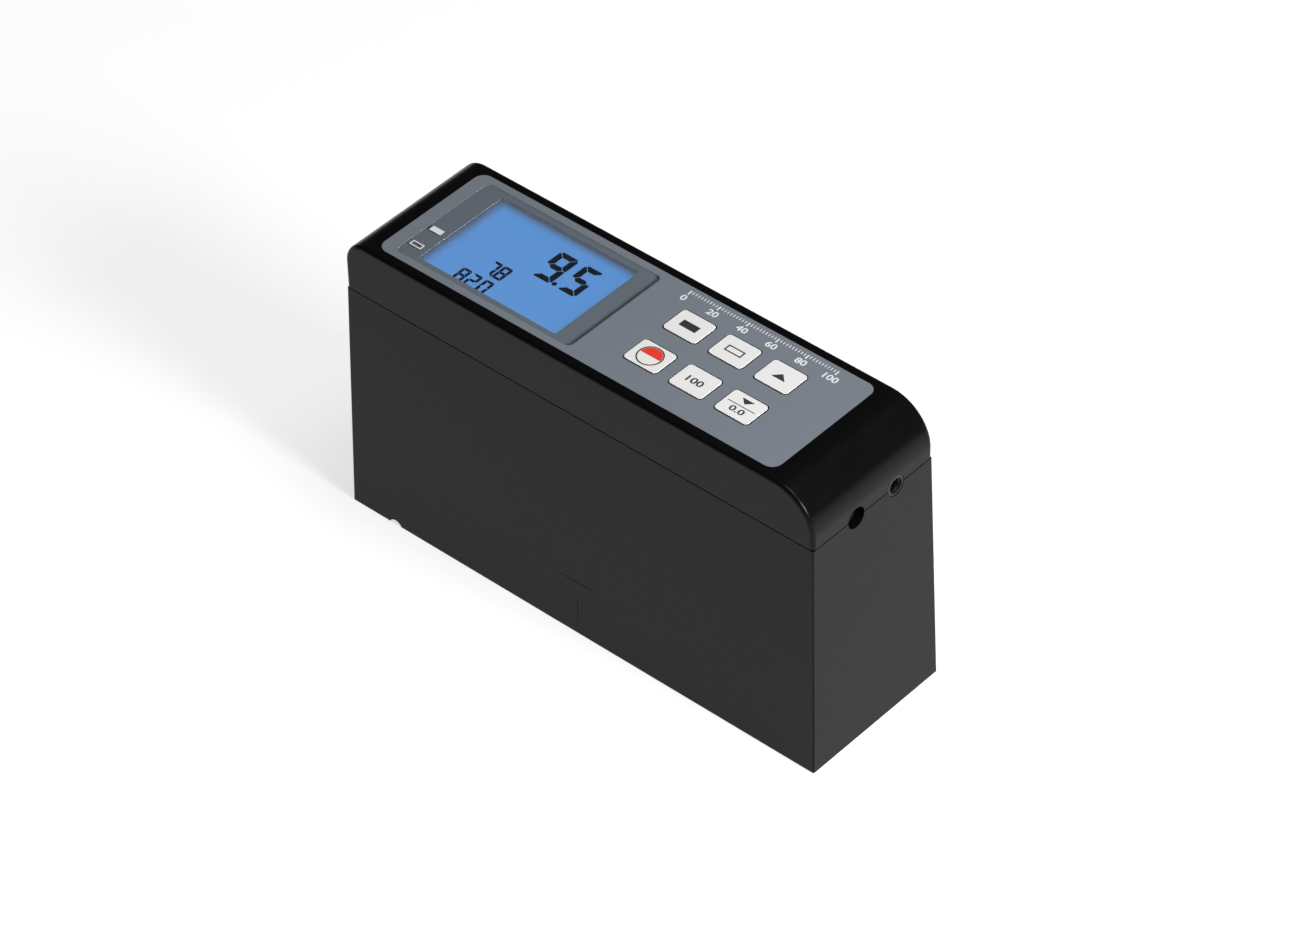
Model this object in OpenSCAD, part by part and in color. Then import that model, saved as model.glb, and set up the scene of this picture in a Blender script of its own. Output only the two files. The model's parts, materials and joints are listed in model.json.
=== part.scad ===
// Hand-held reflectance meter that stands on the sheet it measures.
// X runs along the case to the sockets, Y to the back and Z up, in millimetres.
// The origin is the middle of the base.

/* [Case] */
// Length of the case at its base
case_l = 140; // [126:0.5:160]
// Width of the case at its base
case_w = 42.9; // [38.5:0.1:52]
// Height of the flat top face
case_h = 78.3; // [70.4:0.1:92]
// Height of the cover above the joint line
cover_h = 14.3; // [13:0.1:16]
// Lean of the four walls of the lower case, in degrees
draft = 1.3; // [0:0.05:1.6]
// Wall thickness of both case halves
wall = 2.2; // [1.8:0.1:2.5]
// Thickness of the base
floor_t = 2.4; // [2.3:0.1:3.2]
// Radius of the upright edges of the lower case
corner_r = 0.3; // [0.2:0.1:2]
// Open shadow line at the joint
seam_gap = 0.3; // [0.1:0.05:0.6]
// Depth of the cover's lip inside the lower case
lip_h = 2; // [1:0.1:3]
// Thickness of the cover's lip
lip_t = 1; // [0.6:0.1:1.3]

/* [Cover] */
// Thickness of the cover's top wall
cover_t = 2; // [1.7:0.1:2.6]
// Rounding along the long top edges and upright edges of the cover
edge_r = 1; // [0.6:0.1:2]
// Rounding of the top at the display end
nose_r = 6.4; // [4:0.1:8]
// Large rounding of the top at the socket end
tail_r = 11.2; // [8:0.1:12]

/* [Overlay] */
// Distance of the grey panel film from the display end
film_left = 7.8; // [7:0.1:12]
// Distance of the film from the socket end
film_right = 13.05; // [12.5:0.05:18]
// Rim of the cover along each side of the film
film_rim = 2.6; // [2:0.1:4]
// Film thickness
overlay_t = 0.4; // [0.2:0.05:0.6]
// Corner radius of the film
overlay_r = 2.7; // [1:0.1:5]
// How far the film lies below the rim of its recess
overlay_sunk = 0.1; // [0:0.05:0.3]

/* [Display] */
// Film between its display end and the clear window
window_left = 3.8; // [3:0.1:6]
// Film along each side of the window
window_rim = 2.05; // [1.6:0.05:3]
// Space between the window and the keys
key_space = 10.9; // [10:0.1:14]
// Thickness of the clear window
window_t = 0.7; // [0.5:0.05:0.9]
// Corner radius of the window
window_r = 1.5; // [0.3:0.1:2]
// Thickness of the dark mask behind the window
mask_t = 0.2; // [0.1:0.05:0.3]
// Dark mask shown at each end of the display
mask_end = 5.55; // [4:0.05:7]
// Dark mask shown along each side of the display
mask_side = 1.55; // [1.2:0.05:2.5]
// How far the liquid crystal glass ends short of the window's ends
glass_end = 1.55; // [1:0.05:2.5]
// Thickness of one pane
pane_t = 1.1; // [0.7:0.1:1.3]
// Overhang of the upper pane on each long side
pane_rim = 2.1; // [1.9:0.1:2.6]
// Thickness of the backlight
backlight_t = 3.6; // [3:0.1:4.2]
// Wall of the frame round the glass
frame_t = 1.1; // [0.8:0.1:1.2]

/* [Keys] */
// Length of a key
key_l = 9.5; // [8:0.1:10.5]
// Width of a key
key_w = 7.75; // [6:0.05:9.5]
// Corner radius of a key
key_r = 1; // [0.4:0.1:2]
// Open gap round a key
key_gap = 0.3; // [0.2:0.05:0.4]
// Distance between keys, along and across
key_pitch = 13.05; // [12.8:0.05:13.5]
// Film between the keys and its socket end
key_margin = 13.85; // [12:0.05:16]
// Middle of the two key rows across the case
key_y = 0.1; // [-0.5:0.05:0.5]
// Height of a key above the film
key_proud = 0.15; // [0.05:0.05:0.5]
// Sloped rim of a key
key_bevel = 0.2; // [0.1:0.05:0.3]
// Travel of a key
key_travel = 0.4; // [0.2:0.05:0.5]
// Width of the flange that keeps a key in
key_flange = 0.8; // [0.6:0.1:1]
// Side of a switch housing
switch_side = 6; // [5.5:0.1:6.5]
// Height of a switch housing
switch_h = 3.5; // [3:0.1:3.8]
// Diameter of a switch plunger
plunger_d = 3.4; // [2.8:0.1:3.6]

/* [Board] */
// Thickness of the circuit boards
board_t = 1.6; // [1:0.1:1.8]
// Gap between the main board and the case walls
board_gap = 0.6; // [0.4:0.1:1]
// Outer radius of the posts that carry the main board
post_r = 2.4; // [2:0.1:2.6]
// Side of the processor
chip_side = 12; // [7:0.5:14]
// Thickness of the processor
chip_t = 1.5; // [0.8:0.1:2]
// Height of the cable sockets
plug_h = 3.5; // [3:0.1:4]
// Length of the cable sockets along the case
plug_l = 4.5; // [4:0.1:6]

/* [Sockets] */
// Data jack across the case
jack_y = 7.7; // [6.5:0.1:9]
// Power inlet across the case
inlet_y = -5.7; // [-7:0.1:-5]
// Outer diameter of the data jack's nose
jack_nose_d = 5; // [4.8:0.1:5.6]
// Bore of the data jack
jack_bore_d = 3.6; // [3.5:0.05:3.7]
// Depth of the data jack's bore
jack_depth = 13; // [11:0.5:14]
// Length of the metal sleeve in the jack's mouth
sleeve_l = 2; // [1:0.1:3]
// Width of the data jack's body
jack_w = 6.4; // [6:0.1:7]
// Hole in the case in front of the power inlet
inlet_hole_d = 5.4; // [5:0.1:5.6]
// Bore of the power inlet
inlet_bore_d = 5.6; // [5.5:0.05:5.8]
// Depth of the power inlet
inlet_depth = 9.5; // [8:0.5:10]
// Centre pin of the power inlet
inlet_pin_d = 2; // [1.6:0.1:2.5]
// Width of the power inlet's body
inlet_w = 9.2; // [8.4:0.1:9.6]

/* [Optics] */
// Middle of the measuring opening along the case
aperture_x = 0; // [-5:0.5:5]
// Diameter of the measuring opening in the base
aperture_d = 16; // [12:0.5:18]
// Diameter of the dust window over the opening
glass_d = 20; // [19:0.5:22]
// Thickness of the dust window
glass_t = 1.2; // [0.8:0.1:1.3]
// Thickness of the seal on the dust window
gasket_t = 0.2; // [0.1:0.05:0.4]
// Diameter of the light channels
channel_d = 10; // [8:0.5:10.5]
// Wall of the optical block round the channels
block_wall = 4; // [3.6:0.1:4.4]
// Room between the optical block's ears and the case walls
ear_room = 1.2; // [0.8:0.1:2]
// Slope of the lamp channel from upright, in degrees
lamp_angle = 45; // [43:1:47]
// Length of the lamp channel from the measured spot
lamp_reach = 52; // [48:1:55]
// Height of the sensor channel from the measured spot
sensor_reach = 46; // [42:1:50]
// Distance of the lenses from the measured spot
lens_reach = 25; // [23:0.5:28]
// Diameter of the lenses
lens_d = 12; // [11.5:0.5:13]
// Edge thickness of the lenses
lens_edge = 1.2; // [0.8:0.1:2]
// Radius of the curved face of the lenses
lens_curve = 16; // [12:0.5:30]
// Diameter of the lamp
lamp_d = 5; // [3:0.5:6]
// Height of the lamp
lamp_l = 8.5; // [6:0.5:10]
// Diameter of the light sensor
sensor_d = 8.2; // [6:0.1:9]
// Height of the light sensor
sensor_h = 4; // [3:0.1:6]

/* [Batteries] */
// Cell diameter, size AAA
cell_d = 10.5; // [9.8:0.1:10.5]
// Cell length, size AAA
cell_l = 44.5; // [43.3:0.1:44.5]
// Length of the raised positive end
nub_l = 0.9; // [0.8:0.1:1.2]
// Wall at the ends of the battery holder
holder_end = 1.8; // [1.4:0.1:2]
// Wall at the sides of the battery holder
holder_side = 1.1; // [0.8:0.1:1.3]
// Web between cells side by side
holder_rib = 0.8; // [0.6:0.1:1]
// Web between the left and right cells
holder_web = 1.3; // [1:0.1:1.6]
// Room for the spring contact behind a cell
leaf_room = 2.5; // [2:0.1:2.8]
// Metal thickness of the contacts
contact_t = 0.4; // [0.3:0.05:0.5]
// Wall of the battery bay
bay_t = 1.4; // [1:0.1:1.6]
// Thickness of the battery door
door_t = 1.2; // [1:0.05:1.3]
// How far the door lies above the base plane
door_sunk = 0.2; // [0.1:0.05:0.3]
// Ledge that the door's long sides close against
door_ledge = 1; // [0.6:0.1:1.1]
// Gap round the door
door_gap = 0.25; // [0.2:0.05:0.35]
// Thickness of the door's hooks
hook_t = 0.9; // [0.7:0.1:1]
// Width of one hook
hook_w = 3.2; // [2:0.1:3.4]
// Reach of the hooks past the edge of the base
hook_reach = 1.1; // [0.8:0.1:1.3]
// Number of grip grooves across the outside of the door
grip_count = 4; // [2:1:6]
// Spacing of the grip grooves
grip_step = 1.8; // [1.5:0.1:2.5]
// Depth of the grip grooves
grip_deep = 0.4; // [0.2:0.05:0.5]
// Distance of the nail notch from the free end of the door
notch_in = 3.35; // [2:0.05:8]
// Radius of the nail notch
notch_r = 2; // [1.6:0.1:3]
// Height of the nail notch
notch_h = 1.1; // [0.8:0.1:1.3]

/* [Fasteners] */
// Outer radius of the screw towers
tower_r = 3.2; // [3:0.1:3.3]
// Shank diameter of the case screws
case_screw_d = 2.4; // [2:0.1:2.6]
// Head diameter of the case screws
case_head_d = 4.3; // [3.8:0.1:4.4]
// Wall under the heads of the case screws
seat_t = 3; // [2.5:0.1:4]
// How far the case screws reach into the cover
case_bite = 4; // [3:0.1:4.2]
// Shank diameter of the small screws
small_screw_d = 1.8; // [1.4:0.1:2]
// Head diameter of the small screws
small_head_d = 3.4; // [3:0.1:3.8]
// Head height of all screws
head_h = 1.5; // [1:0.1:1.8]

/* [Mark] */
// Width of the moulded arrow that marks the measured spot
mark_w = 9.2; // [4:0.1:12]
// Height of the arrow
mark_h = 4; // [2:0.1:6]
// Height of the arrow's point above the base
mark_z = 11.3; // [8:0.1:20]
// Width of the line below the arrow
line_w = 0.6; // [0.3:0.1:1]
// Length of the line below the arrow
line_l = 6.4; // [3:0.1:7]
// How far the mark stands out of the leaning wall
mark_raise = 0.07; // [0.04:0.01:0.08]

/* [Clearances] */
// Between parts that are laid into each other
fit_gap = 0.1; // [0.05:0.01:0.15]
// Between a screw and its hole
screw_gap = 0.05; // [0.02:0.01:0.1]
// Between a plunger and its housing
slide_gap = 0.05; // [0.03:0.01:0.08]
// Round the battery holder and over the cells
bay_gap = 0.4; // [0.3:0.05:0.5]

/* [Hidden] */
$fn = 48;
// Facets of blended forms
blend_fn = 32;
roll_fn = 80;
// How far a cut runs past the face that it opens
over = 1;
// Thickness of the sections that a leaning form is drawn between
section_t = 0.01;
// Smallest inner radius of a shell
inner_r = 0.4;

// Half length and half width of the leaning lower case at a height
function half_l(z) = case_l / 2 - z * tan(draft);
function half_w(z) = case_w / 2 - z * tan(draft);

// Upright walls of the cover continue the lower case from the joint
part_z = case_h - cover_h;
cover_z = part_z + seam_gap;
lip_z = part_z - lip_h;
cover_hl = half_l(part_z);
cover_hw = half_w(part_z);
ceiling_z = case_h - cover_t;

// Panel from left to right: film, window, keys
film_x0 = film_left - cover_hl;
film_x1 = cover_hl - film_right;
film_l = film_x1 - film_x0;
film_w = 2 * (cover_hw - film_rim);
film_x = (film_x0 + film_x1) / 2;
key_x = film_x1 - key_margin - key_l / 2 - key_pitch;
window_x0 = film_x0 + window_left;
window_x1 = key_x - key_pitch - key_l / 2 - key_space;
window_l = window_x1 - window_x0;
window_w = film_w - 2 * window_rim;
window_x = (window_x0 + window_x1) / 2;
view_l = window_l - 2 * mask_end;
view_w = window_w - 2 * mask_side;

// Panel heights
opening_rim = 1.1;
view_r = 0.3;
panel_z = case_h - overlay_sunk;
film_z = panel_z - overlay_t;
window_z = panel_z - window_t;
mask_z = window_z - mask_t;
opening_l = view_l + 2 * opening_rim;
opening_w = view_w + 2 * opening_rim;

// Display stack, hung below the ceiling
frame_inset = 0.2;
frame_r = 0.8;
strip_inset = 1.5;
lcd_z = ceiling_z - fit_gap;
pane_z = lcd_z - pane_t;
light_z = pane_z - pane_t;
board_top = light_z - backlight_t;
board_low = board_top - board_t;
board_hw = cover_hw - wall - board_gap;
frame_l = window_l - 2 * glass_end + 2 * (fit_gap + frame_t);
frame_w = 2 * (board_hw - frame_inset);
lcd_l = frame_l - 2 * (fit_gap + frame_t);
lcd_w = frame_w - 2 * (fit_gap + frame_t);
low_pane_w = lcd_w - 2 * pane_rim;
strip_w = pane_rim - 4 * fit_gap;

// Keys and switches
key_top = panel_z + key_proud;
flange_top = ceiling_z - fit_gap;
flange_t = 0.9;
switch_top = board_top + switch_h;
switch_roof = 0.8;
plunger_top = switch_top + key_travel + 1.5 * fit_gap;
plunger_rim = 0.5;
stem_rim = 0.4;
plunger_flange_t = 0.5;
plunger_flange_top = switch_top - switch_roof - slide_gap;
plunger_low = plunger_flange_top - plunger_flange_t;
dome_r = plunger_d / 2 + plunger_rim;
dome_t = 0.15;
dome_h = plunger_low - key_travel - fit_gap - board_top;
flange_l = key_l + 2 * (key_gap + key_flange);

// Main board
tower_gap = 0.6;
tower_x = cover_hl - tower_r - tower_gap;
tower_y = cover_hw - tower_r - fit_gap;
well_gap = 0.15;
boss_r = tower_r - 2 * fit_gap;
boss_cap = 0.4;
boss_top = cover_z + case_bite + boss_cap;
tip_room = 0.4;
board_hl = tower_x - boss_r - board_gap;
tongue_hw = tower_y - boss_r - board_gap;
tail_room = 1.6;
board_x = cover_hl - wall - tail_room;
post_gap = 0.4;
post_y = board_hw - post_r - post_gap;
post_left = window_x - frame_l / 2 - post_r - post_gap;
post_mid = (window_x + frame_l / 2 + key_x - key_pitch - flange_l / 2) / 2;
post_right = key_x + key_pitch + flange_l / 2 + post_r + 5 * post_gap;
post_places = [
    [post_left, 0], [post_mid, post_y], [post_mid, -post_y], [post_right, post_y], [post_right, -post_y]
];
plug_rim = 1.3;

// Inner face of the cover's socket end at a height
function inner_x(z) =
    let(r = tail_r - wall, rise = max(z - (case_h - cover_t - r), 0))
    cover_hl - tail_r + sqrt(r * r - rise * rise);

// Sockets lie on the joint line
socket_z = part_z + seam_gap / 2;
socket_front = inner_x(board_low) - fit_gap;
nose_front = cover_hl - fit_gap;
jack_back = 1;
jack_body_l = jack_depth - (nose_front - socket_front) + jack_back;
sleeve_t = 0.2;
sleeve_d = jack_bore_d + 2 * sleeve_t;
sleeve_sunk = 0.8;
sleeve_x = nose_front - sleeve_sunk - sleeve_l;
inlet_back = 1.5;
inlet_l = inlet_depth + inlet_back;
pin_sunk = 1.2;

// Battery bay beside the screw towers; the cells stand upright in two pairs
block_half = channel_d / 2 + block_wall;
cell_r = cell_d / 2;
cell_y = (cell_d + holder_rib) / 2;
cell_x = (cell_d + holder_web) / 2;
bay_hl = cell_x + cell_r + bay_gap;
bay_x0 = tower_r + tower_gap / 2 + bay_t - tower_x;
bay_x1 = bay_x0 + 2 * bay_hl;
bay_x = bay_x0 + bay_hl;
holder_w = 2 * (cell_d + holder_side) + holder_rib;
holder_hl = cell_x + cell_r / 2;
holder_h = cell_l + 2 * holder_end + leaf_room + contact_t + 2 * fit_gap;
bay_hw = holder_w / 2 + bay_gap;
door_top = door_sunk + door_t;
hook_z = floor_t + 1.5 * fit_gap;
hook_lift = 1;
slot_h = hook_t + 1.8;
pad_side = 10;
catch_w = 10;
catch_t = 1;
catch_h = 0.9;
grip_in = 2;
holder_z0 = hook_z + hook_t + hook_lift;
holder_z1 = holder_z0 + holder_h;
cell_z0 = holder_z0 + holder_end;
cell_z1 = holder_z1 - holder_end;
bay_roof = holder_z1 + bay_gap;
hook_y = bay_hw - hook_w / 2 - 2 * fit_gap;
rib_w = 1.2;
leaf_w = 4.4;
leaf_tip = 0.8;
leaf_foot = 0.6;
plate_side = 5;
notch_x = bay_x0 + notch_in;
lead_y = 1.6;
lead_r = 0.7;
lead_bend = 2;
lead_z = holder_z1 - holder_end / 2;
lead_run = 12;
lead_x = bay_x1 + bay_t + lead_run + lead_bend;

// Optical block on the base
glass_z = floor_t - gasket_t - glass_t;
lens_r = lens_d / 2;
ring_t = 3.6;
ring_w = 1.2;
ear_h = 6;
ear_t = 2.5;
ear_r = 3.2;
ear_top = floor_t + ear_h + ear_t;
ear_gap = 0.4;
ear_y = half_w(ear_top) - wall - ear_r - ear_room;
block_w = 2 * (ear_y - ear_r - ear_gap);
ear_step = 2;
seal_rim = 0.5;
lamp_foot = 1;
lamp_rim = 0.4;
sensor_foot = 0.6;
sensor_rim = 0.5;
sensor_recess = 0.4;
ear_places = [
    for (x = [-block_half / 2, block_half + ear_step], side = [-1, 1]) [aperture_x + x, side * ear_y]
];
small_board_l = 2 * block_half - 1;
small_screw_in = 2.2;
small_screw_place = [small_board_l / 2 - small_screw_in, block_w / 2 - small_screw_in];
small_bite = 4.5;
ribbon_w = 8;
ribbon_t = 0.5;
ribbon_bend = 4;
ribbon_drop = 3.5;

line_gap = 1.4;

case_colour = "#222224";
board_colour = "#1f6b3a";
metal_colour = "#c9ccd0";
brass_colour = "#c9a24a";
glass_colour = "#bcd6e6";

// Flat outlines and small solids

module rounded_rect(l, w, r) {
    square([l - 2 * r, w], center = true);
    square([l, w - 2 * r], center = true);
    for (sx = [-1, 1], sy = [-1, 1])
        translate([sx * (l / 2 - r), sy * (w / 2 - r)])
            circle(r);
}

module rounded_plate(l, w, t, r) {
    linear_extrude(t)
        rounded_rect(l, w, r);
}

// Block between two corner points
module block(low, high) {
    translate(low)
        cube(high - low);
}

// Round bar or hole along X
module bar_x(x0, x1, y, z, r) {
    translate([x0, y, z])
        rotate([0, 90, 0])
            cylinder(r = r, h = x1 - x0);
}

// Screw that points up, with its head below z
module screw(d, head_d, length) {
    cylinder(d = d, h = length);
    difference() {
        translate([0, 0, -head_h])
            cylinder(d = head_d, h = head_h);
        for (turn = [0, 90])
            rotate(turn)
                cube([0.5 * head_d, 0.16 * head_d, head_h], center = true);
    }
}

// Case halves

// Solid with the leaning walls of the lower case, drawn in by inset
module leaning_block(inset, z0, z1) {
    r = max(corner_r - inset, inner_r);
    hull()
        for (z = [z0, z1 - section_t])
            translate([0, 0, z])
                rounded_plate(2 * (half_l(z) - inset), 2 * (half_w(z) - inset), section_t, r,
                              $fn = blend_fn);
}

// Upper half of a roller along Y with rounded rims
module roller(r, half_width, rim) {
    rotate([90, 0, 0])
        rotate_extrude(angle = 180, $fn = roll_fn)
            intersection() {
                rounded_rect(2 * r, 2 * half_width, rim, $fn = blend_fn);
                translate([0, -half_width])
                    square([r, 2 * half_width]);
            }
}

// Upright plate with the outline of the cover, drawn in by inset
module cover_plate(inset, t) {
    rounded_plate(2 * (cover_hl - inset), 2 * (cover_hw - inset), t, max(edge_r - inset, inner_r));
}

// Solid with the rounded top of the cover, drawn in by side on the walls and by top on the top
module cover_block(side, top, z0) {
    rim = max(edge_r - side, inner_r);
    hl = cover_hl - side;
    hw = cover_hw - side;
    nose = max(nose_r - side, 2 * inner_r);
    tail = max(tail_r - side, 2 * inner_r);
    hull() {
        translate([0, 0, z0])
            rounded_plate(2 * hl, 2 * hw, section_t, rim, $fn = blend_fn);
        translate([nose - hl, 0, case_h - top - nose])
            roller(nose, hw, rim);
        translate([hl - tail, 0, case_h - top - tail])
            roller(tail, hw, rim);
    }
}

module at_towers() {
    for (sx = [-1, 1], sy = [-1, 1])
        translate([sx * tower_x, sy * tower_y, 0])
            children();
}

module socket_holes() {
    bar_x(socket_front - over, cover_hl + over, jack_y, socket_z, jack_nose_d / 2 + fit_gap);
    bar_x(socket_front - over, cover_hl + over, inlet_y, socket_z, inlet_hole_d / 2);
}

module lower_case() {
    color(case_colour)
        difference() {
            union() {
                difference() {
                    leaning_block(0, 0, part_z);
                    leaning_block(wall, floor_t, part_z + over);
                    translate([0, 0, lip_z])
                        cover_plate(wall - lip_t - fit_gap, lip_h + over);
                }
                at_towers()
                    cylinder(r = tower_r, h = part_z);
                battery_bay();
                for (p = ear_places)
                    translate([p.x, p.y, floor_t / 2])
                        cylinder(r = ear_r - ear_gap, h = floor_t / 2 + ear_h);
                index_mark();
            }
            at_towers()
                tower_hole();
            difference() {
                bay_cuts();
                crush_ribs();
            }
            aperture_cuts();
            for (p = ear_places)
                translate([p.x, p.y, floor_t / 2])
                    cylinder(d = small_screw_d + 2 * screw_gap, h = ear_h + floor_t);
            socket_holes();
            nail_notch();
        }
}

// Deep hole for a case screw, entered from the base
module tower_hole() {
    translate([0, 0, -over])
        cylinder(d = case_head_d + 2 * well_gap, h = part_z - seat_t + over);
    cylinder(d = case_screw_d + 2 * well_gap, h = part_z + over);
}

// Walls and roof round the batteries
module battery_bay() {
    block([bay_x0 - bay_t, -bay_hw - bay_t, floor_t / 2],
          [bay_x1 + bay_t, bay_hw + bay_t, bay_roof + bay_t]);
}

// Thin ribs on the walls of the bay, which grip the battery holder
module crush_ribs() {
    for (x = [-1, 1] * (holder_hl - rib_w), side = [-1, 1])
        translate([bay_x + x, side * (holder_w + bay_gap) / 2, (holder_z0 + bay_roof) / 2])
            cube([rib_w, bay_gap, bay_roof - holder_z0], center = true);
}

// Bay, seat of its door, slots for the door's hooks and the way out for the leads
module bay_cuts() {
    block([bay_x0, -bay_hw, -over], [bay_x1, bay_hw, bay_roof]);
    block([bay_x0, -bay_hw - door_ledge, -over], [bay_x1, bay_hw + door_ledge, door_top]);
    for (side = [-1, 1])
        translate([bay_x1 - over, side * hook_y - hook_w / 2 - door_gap, floor_t])
            cube([bay_t + 2 * over, hook_w + 2 * door_gap, slot_h]);
    translate([bay_x1 - over, 0, lead_z])
        rotate([0, 90, 0])
            rounded_plate(2 * (lead_r + bay_gap), 2 * (lead_y + lead_r + bay_gap),
                          bay_t + 2 * over, lead_r);
}

// Measuring opening with a seat for the dust window
module aperture_cuts() {
    translate([aperture_x, 0, -over])
        cylinder(d = aperture_d, h = floor_t + 2 * over);
    translate([aperture_x, 0, glass_z])
        cylinder(d = glass_d + 2 * fit_gap, h = floor_t);
}

// Groove under the front edge, through which a nail lifts the door
module nail_notch() {
    translate([notch_x, -half_w(0) - over, notch_h - notch_r])
        rotate([-90, 0, 0])
            cylinder(r = notch_r, h = half_w(0) - bay_hw - door_ledge + over);
}

// Faint raised arrow and line above the measuring opening, following the leaning front wall
module index_mark() {
    translate([aperture_x, -half_w(0), 0])
        rotate([90 - draft, 0, 0])
            translate([0, 0, -wall / 2])
                linear_extrude(wall / 2 + mark_raise)
                    union() {
                        polygon([[0, mark_z], [mark_w / 2, mark_z + mark_h],
                                 [-mark_w / 2, mark_z + mark_h]]);
                        translate([-line_w / 2, mark_z - line_gap - line_l])
                            square([line_w, line_l]);
                    }
}

// Lid with a lip that locates it inside the lower case
module top_cover() {
    color(case_colour)
        difference() {
            union() {
                difference() {
                    union() {
                        cover_block(0, 0, cover_z);
                        translate([0, 0, lip_z])
                            cover_plate(wall - lip_t, cover_z - lip_z + over);
                    }
                    cover_block(wall, cover_t, lip_z - over);
                    at_towers()
                        translate([0, 0, lip_z - over])
                            cylinder(r = tower_r + fit_gap, h = lip_h + over);
                }
                at_towers()
                    translate([0, 0, part_z])
                        cylinder(r = boss_r, h = boss_top - part_z);
                for (p = post_places)
                    translate([p.x, p.y, board_top])
                        cylinder(r = post_r, h = case_h - overlay_t - cover_t / 2 - board_top);
            }
            at_towers()
                translate([0, 0, part_z - over])
                    cylinder(d = case_screw_d + 2 * screw_gap, h = case_bite + seam_gap + over);
            for (p = post_places)
                translate([p.x, p.y, board_top - over])
                    cylinder(d = small_screw_d + 2 * screw_gap, h = ceiling_z - board_top + over);
            panel_cuts();
            socket_holes();
        }
}

// Recess for the film and openings for the display and the keys
module panel_cuts() {
    translate([film_x, 0, film_z])
        rounded_plate(film_l + 2 * fit_gap, film_w + 2 * fit_gap,
                      case_h - film_z + over, overlay_r + fit_gap);
    translate([0, 0, mask_z])
        window_hole(case_h - mask_z);
    translate([window_x, 0, ceiling_z - over])
        rounded_plate(opening_l, opening_w, cover_t + over, window_r);
    translate([0, 0, ceiling_z - over])
        key_holes(cover_t + over);
}

// Hole that the clear window lies in
module window_hole(t) {
    translate([window_x, 0, 0])
        rounded_plate(window_l + 2 * fit_gap, window_w + 2 * fit_gap, t, window_r + fit_gap);
}

module key_holes(t) {
    at_keys()
        rounded_plate(key_l + 2 * key_gap, key_w + 2 * key_gap, t, key_r + key_gap);
}

// Panel and display

module overlay_panel() {
    color("#747b86")
        difference() {
            translate([film_x, 0, film_z])
                rounded_plate(film_l, film_w, overlay_t, overlay_r);
            translate([0, 0, film_z - over]) {
                window_hole(overlay_t + 2 * over);
                key_holes(overlay_t + 2 * over);
            }
        }
}

module display_window() {
    color(glass_colour, 0.4)
        translate([window_x, 0, window_z])
            rounded_plate(window_l, window_w, window_t, window_r);
}

module display_mask() {
    color("#585e66")
        translate([window_x, 0, mask_z])
            difference() {
                rounded_plate(window_l, window_w, mask_t, window_r);
                translate([0, 0, -over])
                    rounded_plate(view_l, view_w, mask_t + 2 * over, view_r);
            }
}

// Two panes; the upper one overhangs and carries the contacts on its rims
module lcd_glass() {
    color("#5b93d0")
        translate([window_x, 0, 0]) {
            translate([-lcd_l / 2, -lcd_w / 2, pane_z])
                cube([lcd_l, lcd_w, pane_t]);
            translate([-lcd_l / 2, -low_pane_w / 2, light_z])
                cube([lcd_l, low_pane_w, pane_t]);
        }
}

module backlight() {
    color("#e8eef2")
        translate([window_x - lcd_l / 2, -low_pane_w / 2, board_top])
            cube([lcd_l, low_pane_w, backlight_t]);
}

// Soft contact strips from the overhanging rims to the board
module lcd_strips() {
    color("#3a3a3a")
        for (side = [-1, 1])
            translate([window_x, side * (low_pane_w + pane_rim) / 2, (board_top + pane_z) / 2])
                cube([lcd_l - 2 * strip_inset, strip_w, pane_z - board_top], center = true);
}

module lcd_frame() {
    frame_h = lcd_z - board_top;
    color("#e6e6e2")
        translate([window_x, 0, board_top])
            difference() {
                rounded_plate(frame_l, frame_w, frame_h, frame_r);
                translate([0, 0, frame_h / 2])
                    cube([lcd_l + 2 * fit_gap, lcd_w + 2 * fit_gap, frame_h + over], center = true);
            }
}

// Keys and switches

// Repeats a shape at one key place, column and row from the middle
module at_key(column, row) {
    translate([key_x + column * key_pitch, key_y + row * key_pitch / 2, 0])
        children();
}

module at_keys() {
    for (column = [-1, 0, 1], row = [-1, 1])
        at_key(column, row)
            children();
}

module key(column, row) {
    color("#ecebe8")
        at_key(column, row) {
            hull() {
                translate([0, 0, flange_top - flange_t])
                    rounded_plate(key_l, key_w, key_top - key_bevel - flange_top + flange_t, key_r);
                translate([0, 0, key_top - section_t])
                    rounded_plate(key_l - 2 * key_bevel, key_w - 2 * key_bevel,
                                  section_t, key_r - key_bevel);
            }
            translate([0, 0, flange_top - flange_t])
                rounded_plate(flange_l, key_w + 2 * (key_gap + key_flange), flange_t, key_r);
            translate([0, 0, plunger_top])
                cylinder(d = plunger_d + 2 * stem_rim, h = flange_top - flange_t - plunger_top + section_t);
        }
}

module plunger(column, row) {
    color("#1d1d1f")
        at_key(column, row) {
            translate([0, 0, plunger_low])
                cylinder(d = plunger_d, h = plunger_top - plunger_low);
            translate([0, 0, plunger_low])
                cylinder(r = dome_r, h = plunger_flange_t);
        }
}

module switch_housings() {
    color("#3b3b3e")
        at_keys()
            difference() {
                translate([-switch_side / 2, -switch_side / 2, board_top])
                    cube([switch_side, switch_side, switch_h]);
                translate([0, 0, board_top - over])
                    cylinder(r = dome_r + fit_gap, h = switch_h - switch_roof + over);
                translate([0, 0, board_top])
                    cylinder(d = plunger_d + 2 * slide_gap, h = switch_h + over);
            }
}

// Snap dome as a cap cut from a thin ball shell
module switch_domes() {
    ball_r = (dome_r * dome_r + dome_h * dome_h) / (2 * dome_h);
    color(metal_colour)
        at_keys()
            intersection() {
                translate([0, 0, board_top + dome_h - ball_r])
                    difference() {
                        sphere(ball_r);
                        sphere(ball_r - dome_t);
                    }
                translate([0, 0, board_top])
                    cylinder(r = dome_r, h = dome_h + over);
            }
}

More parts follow.
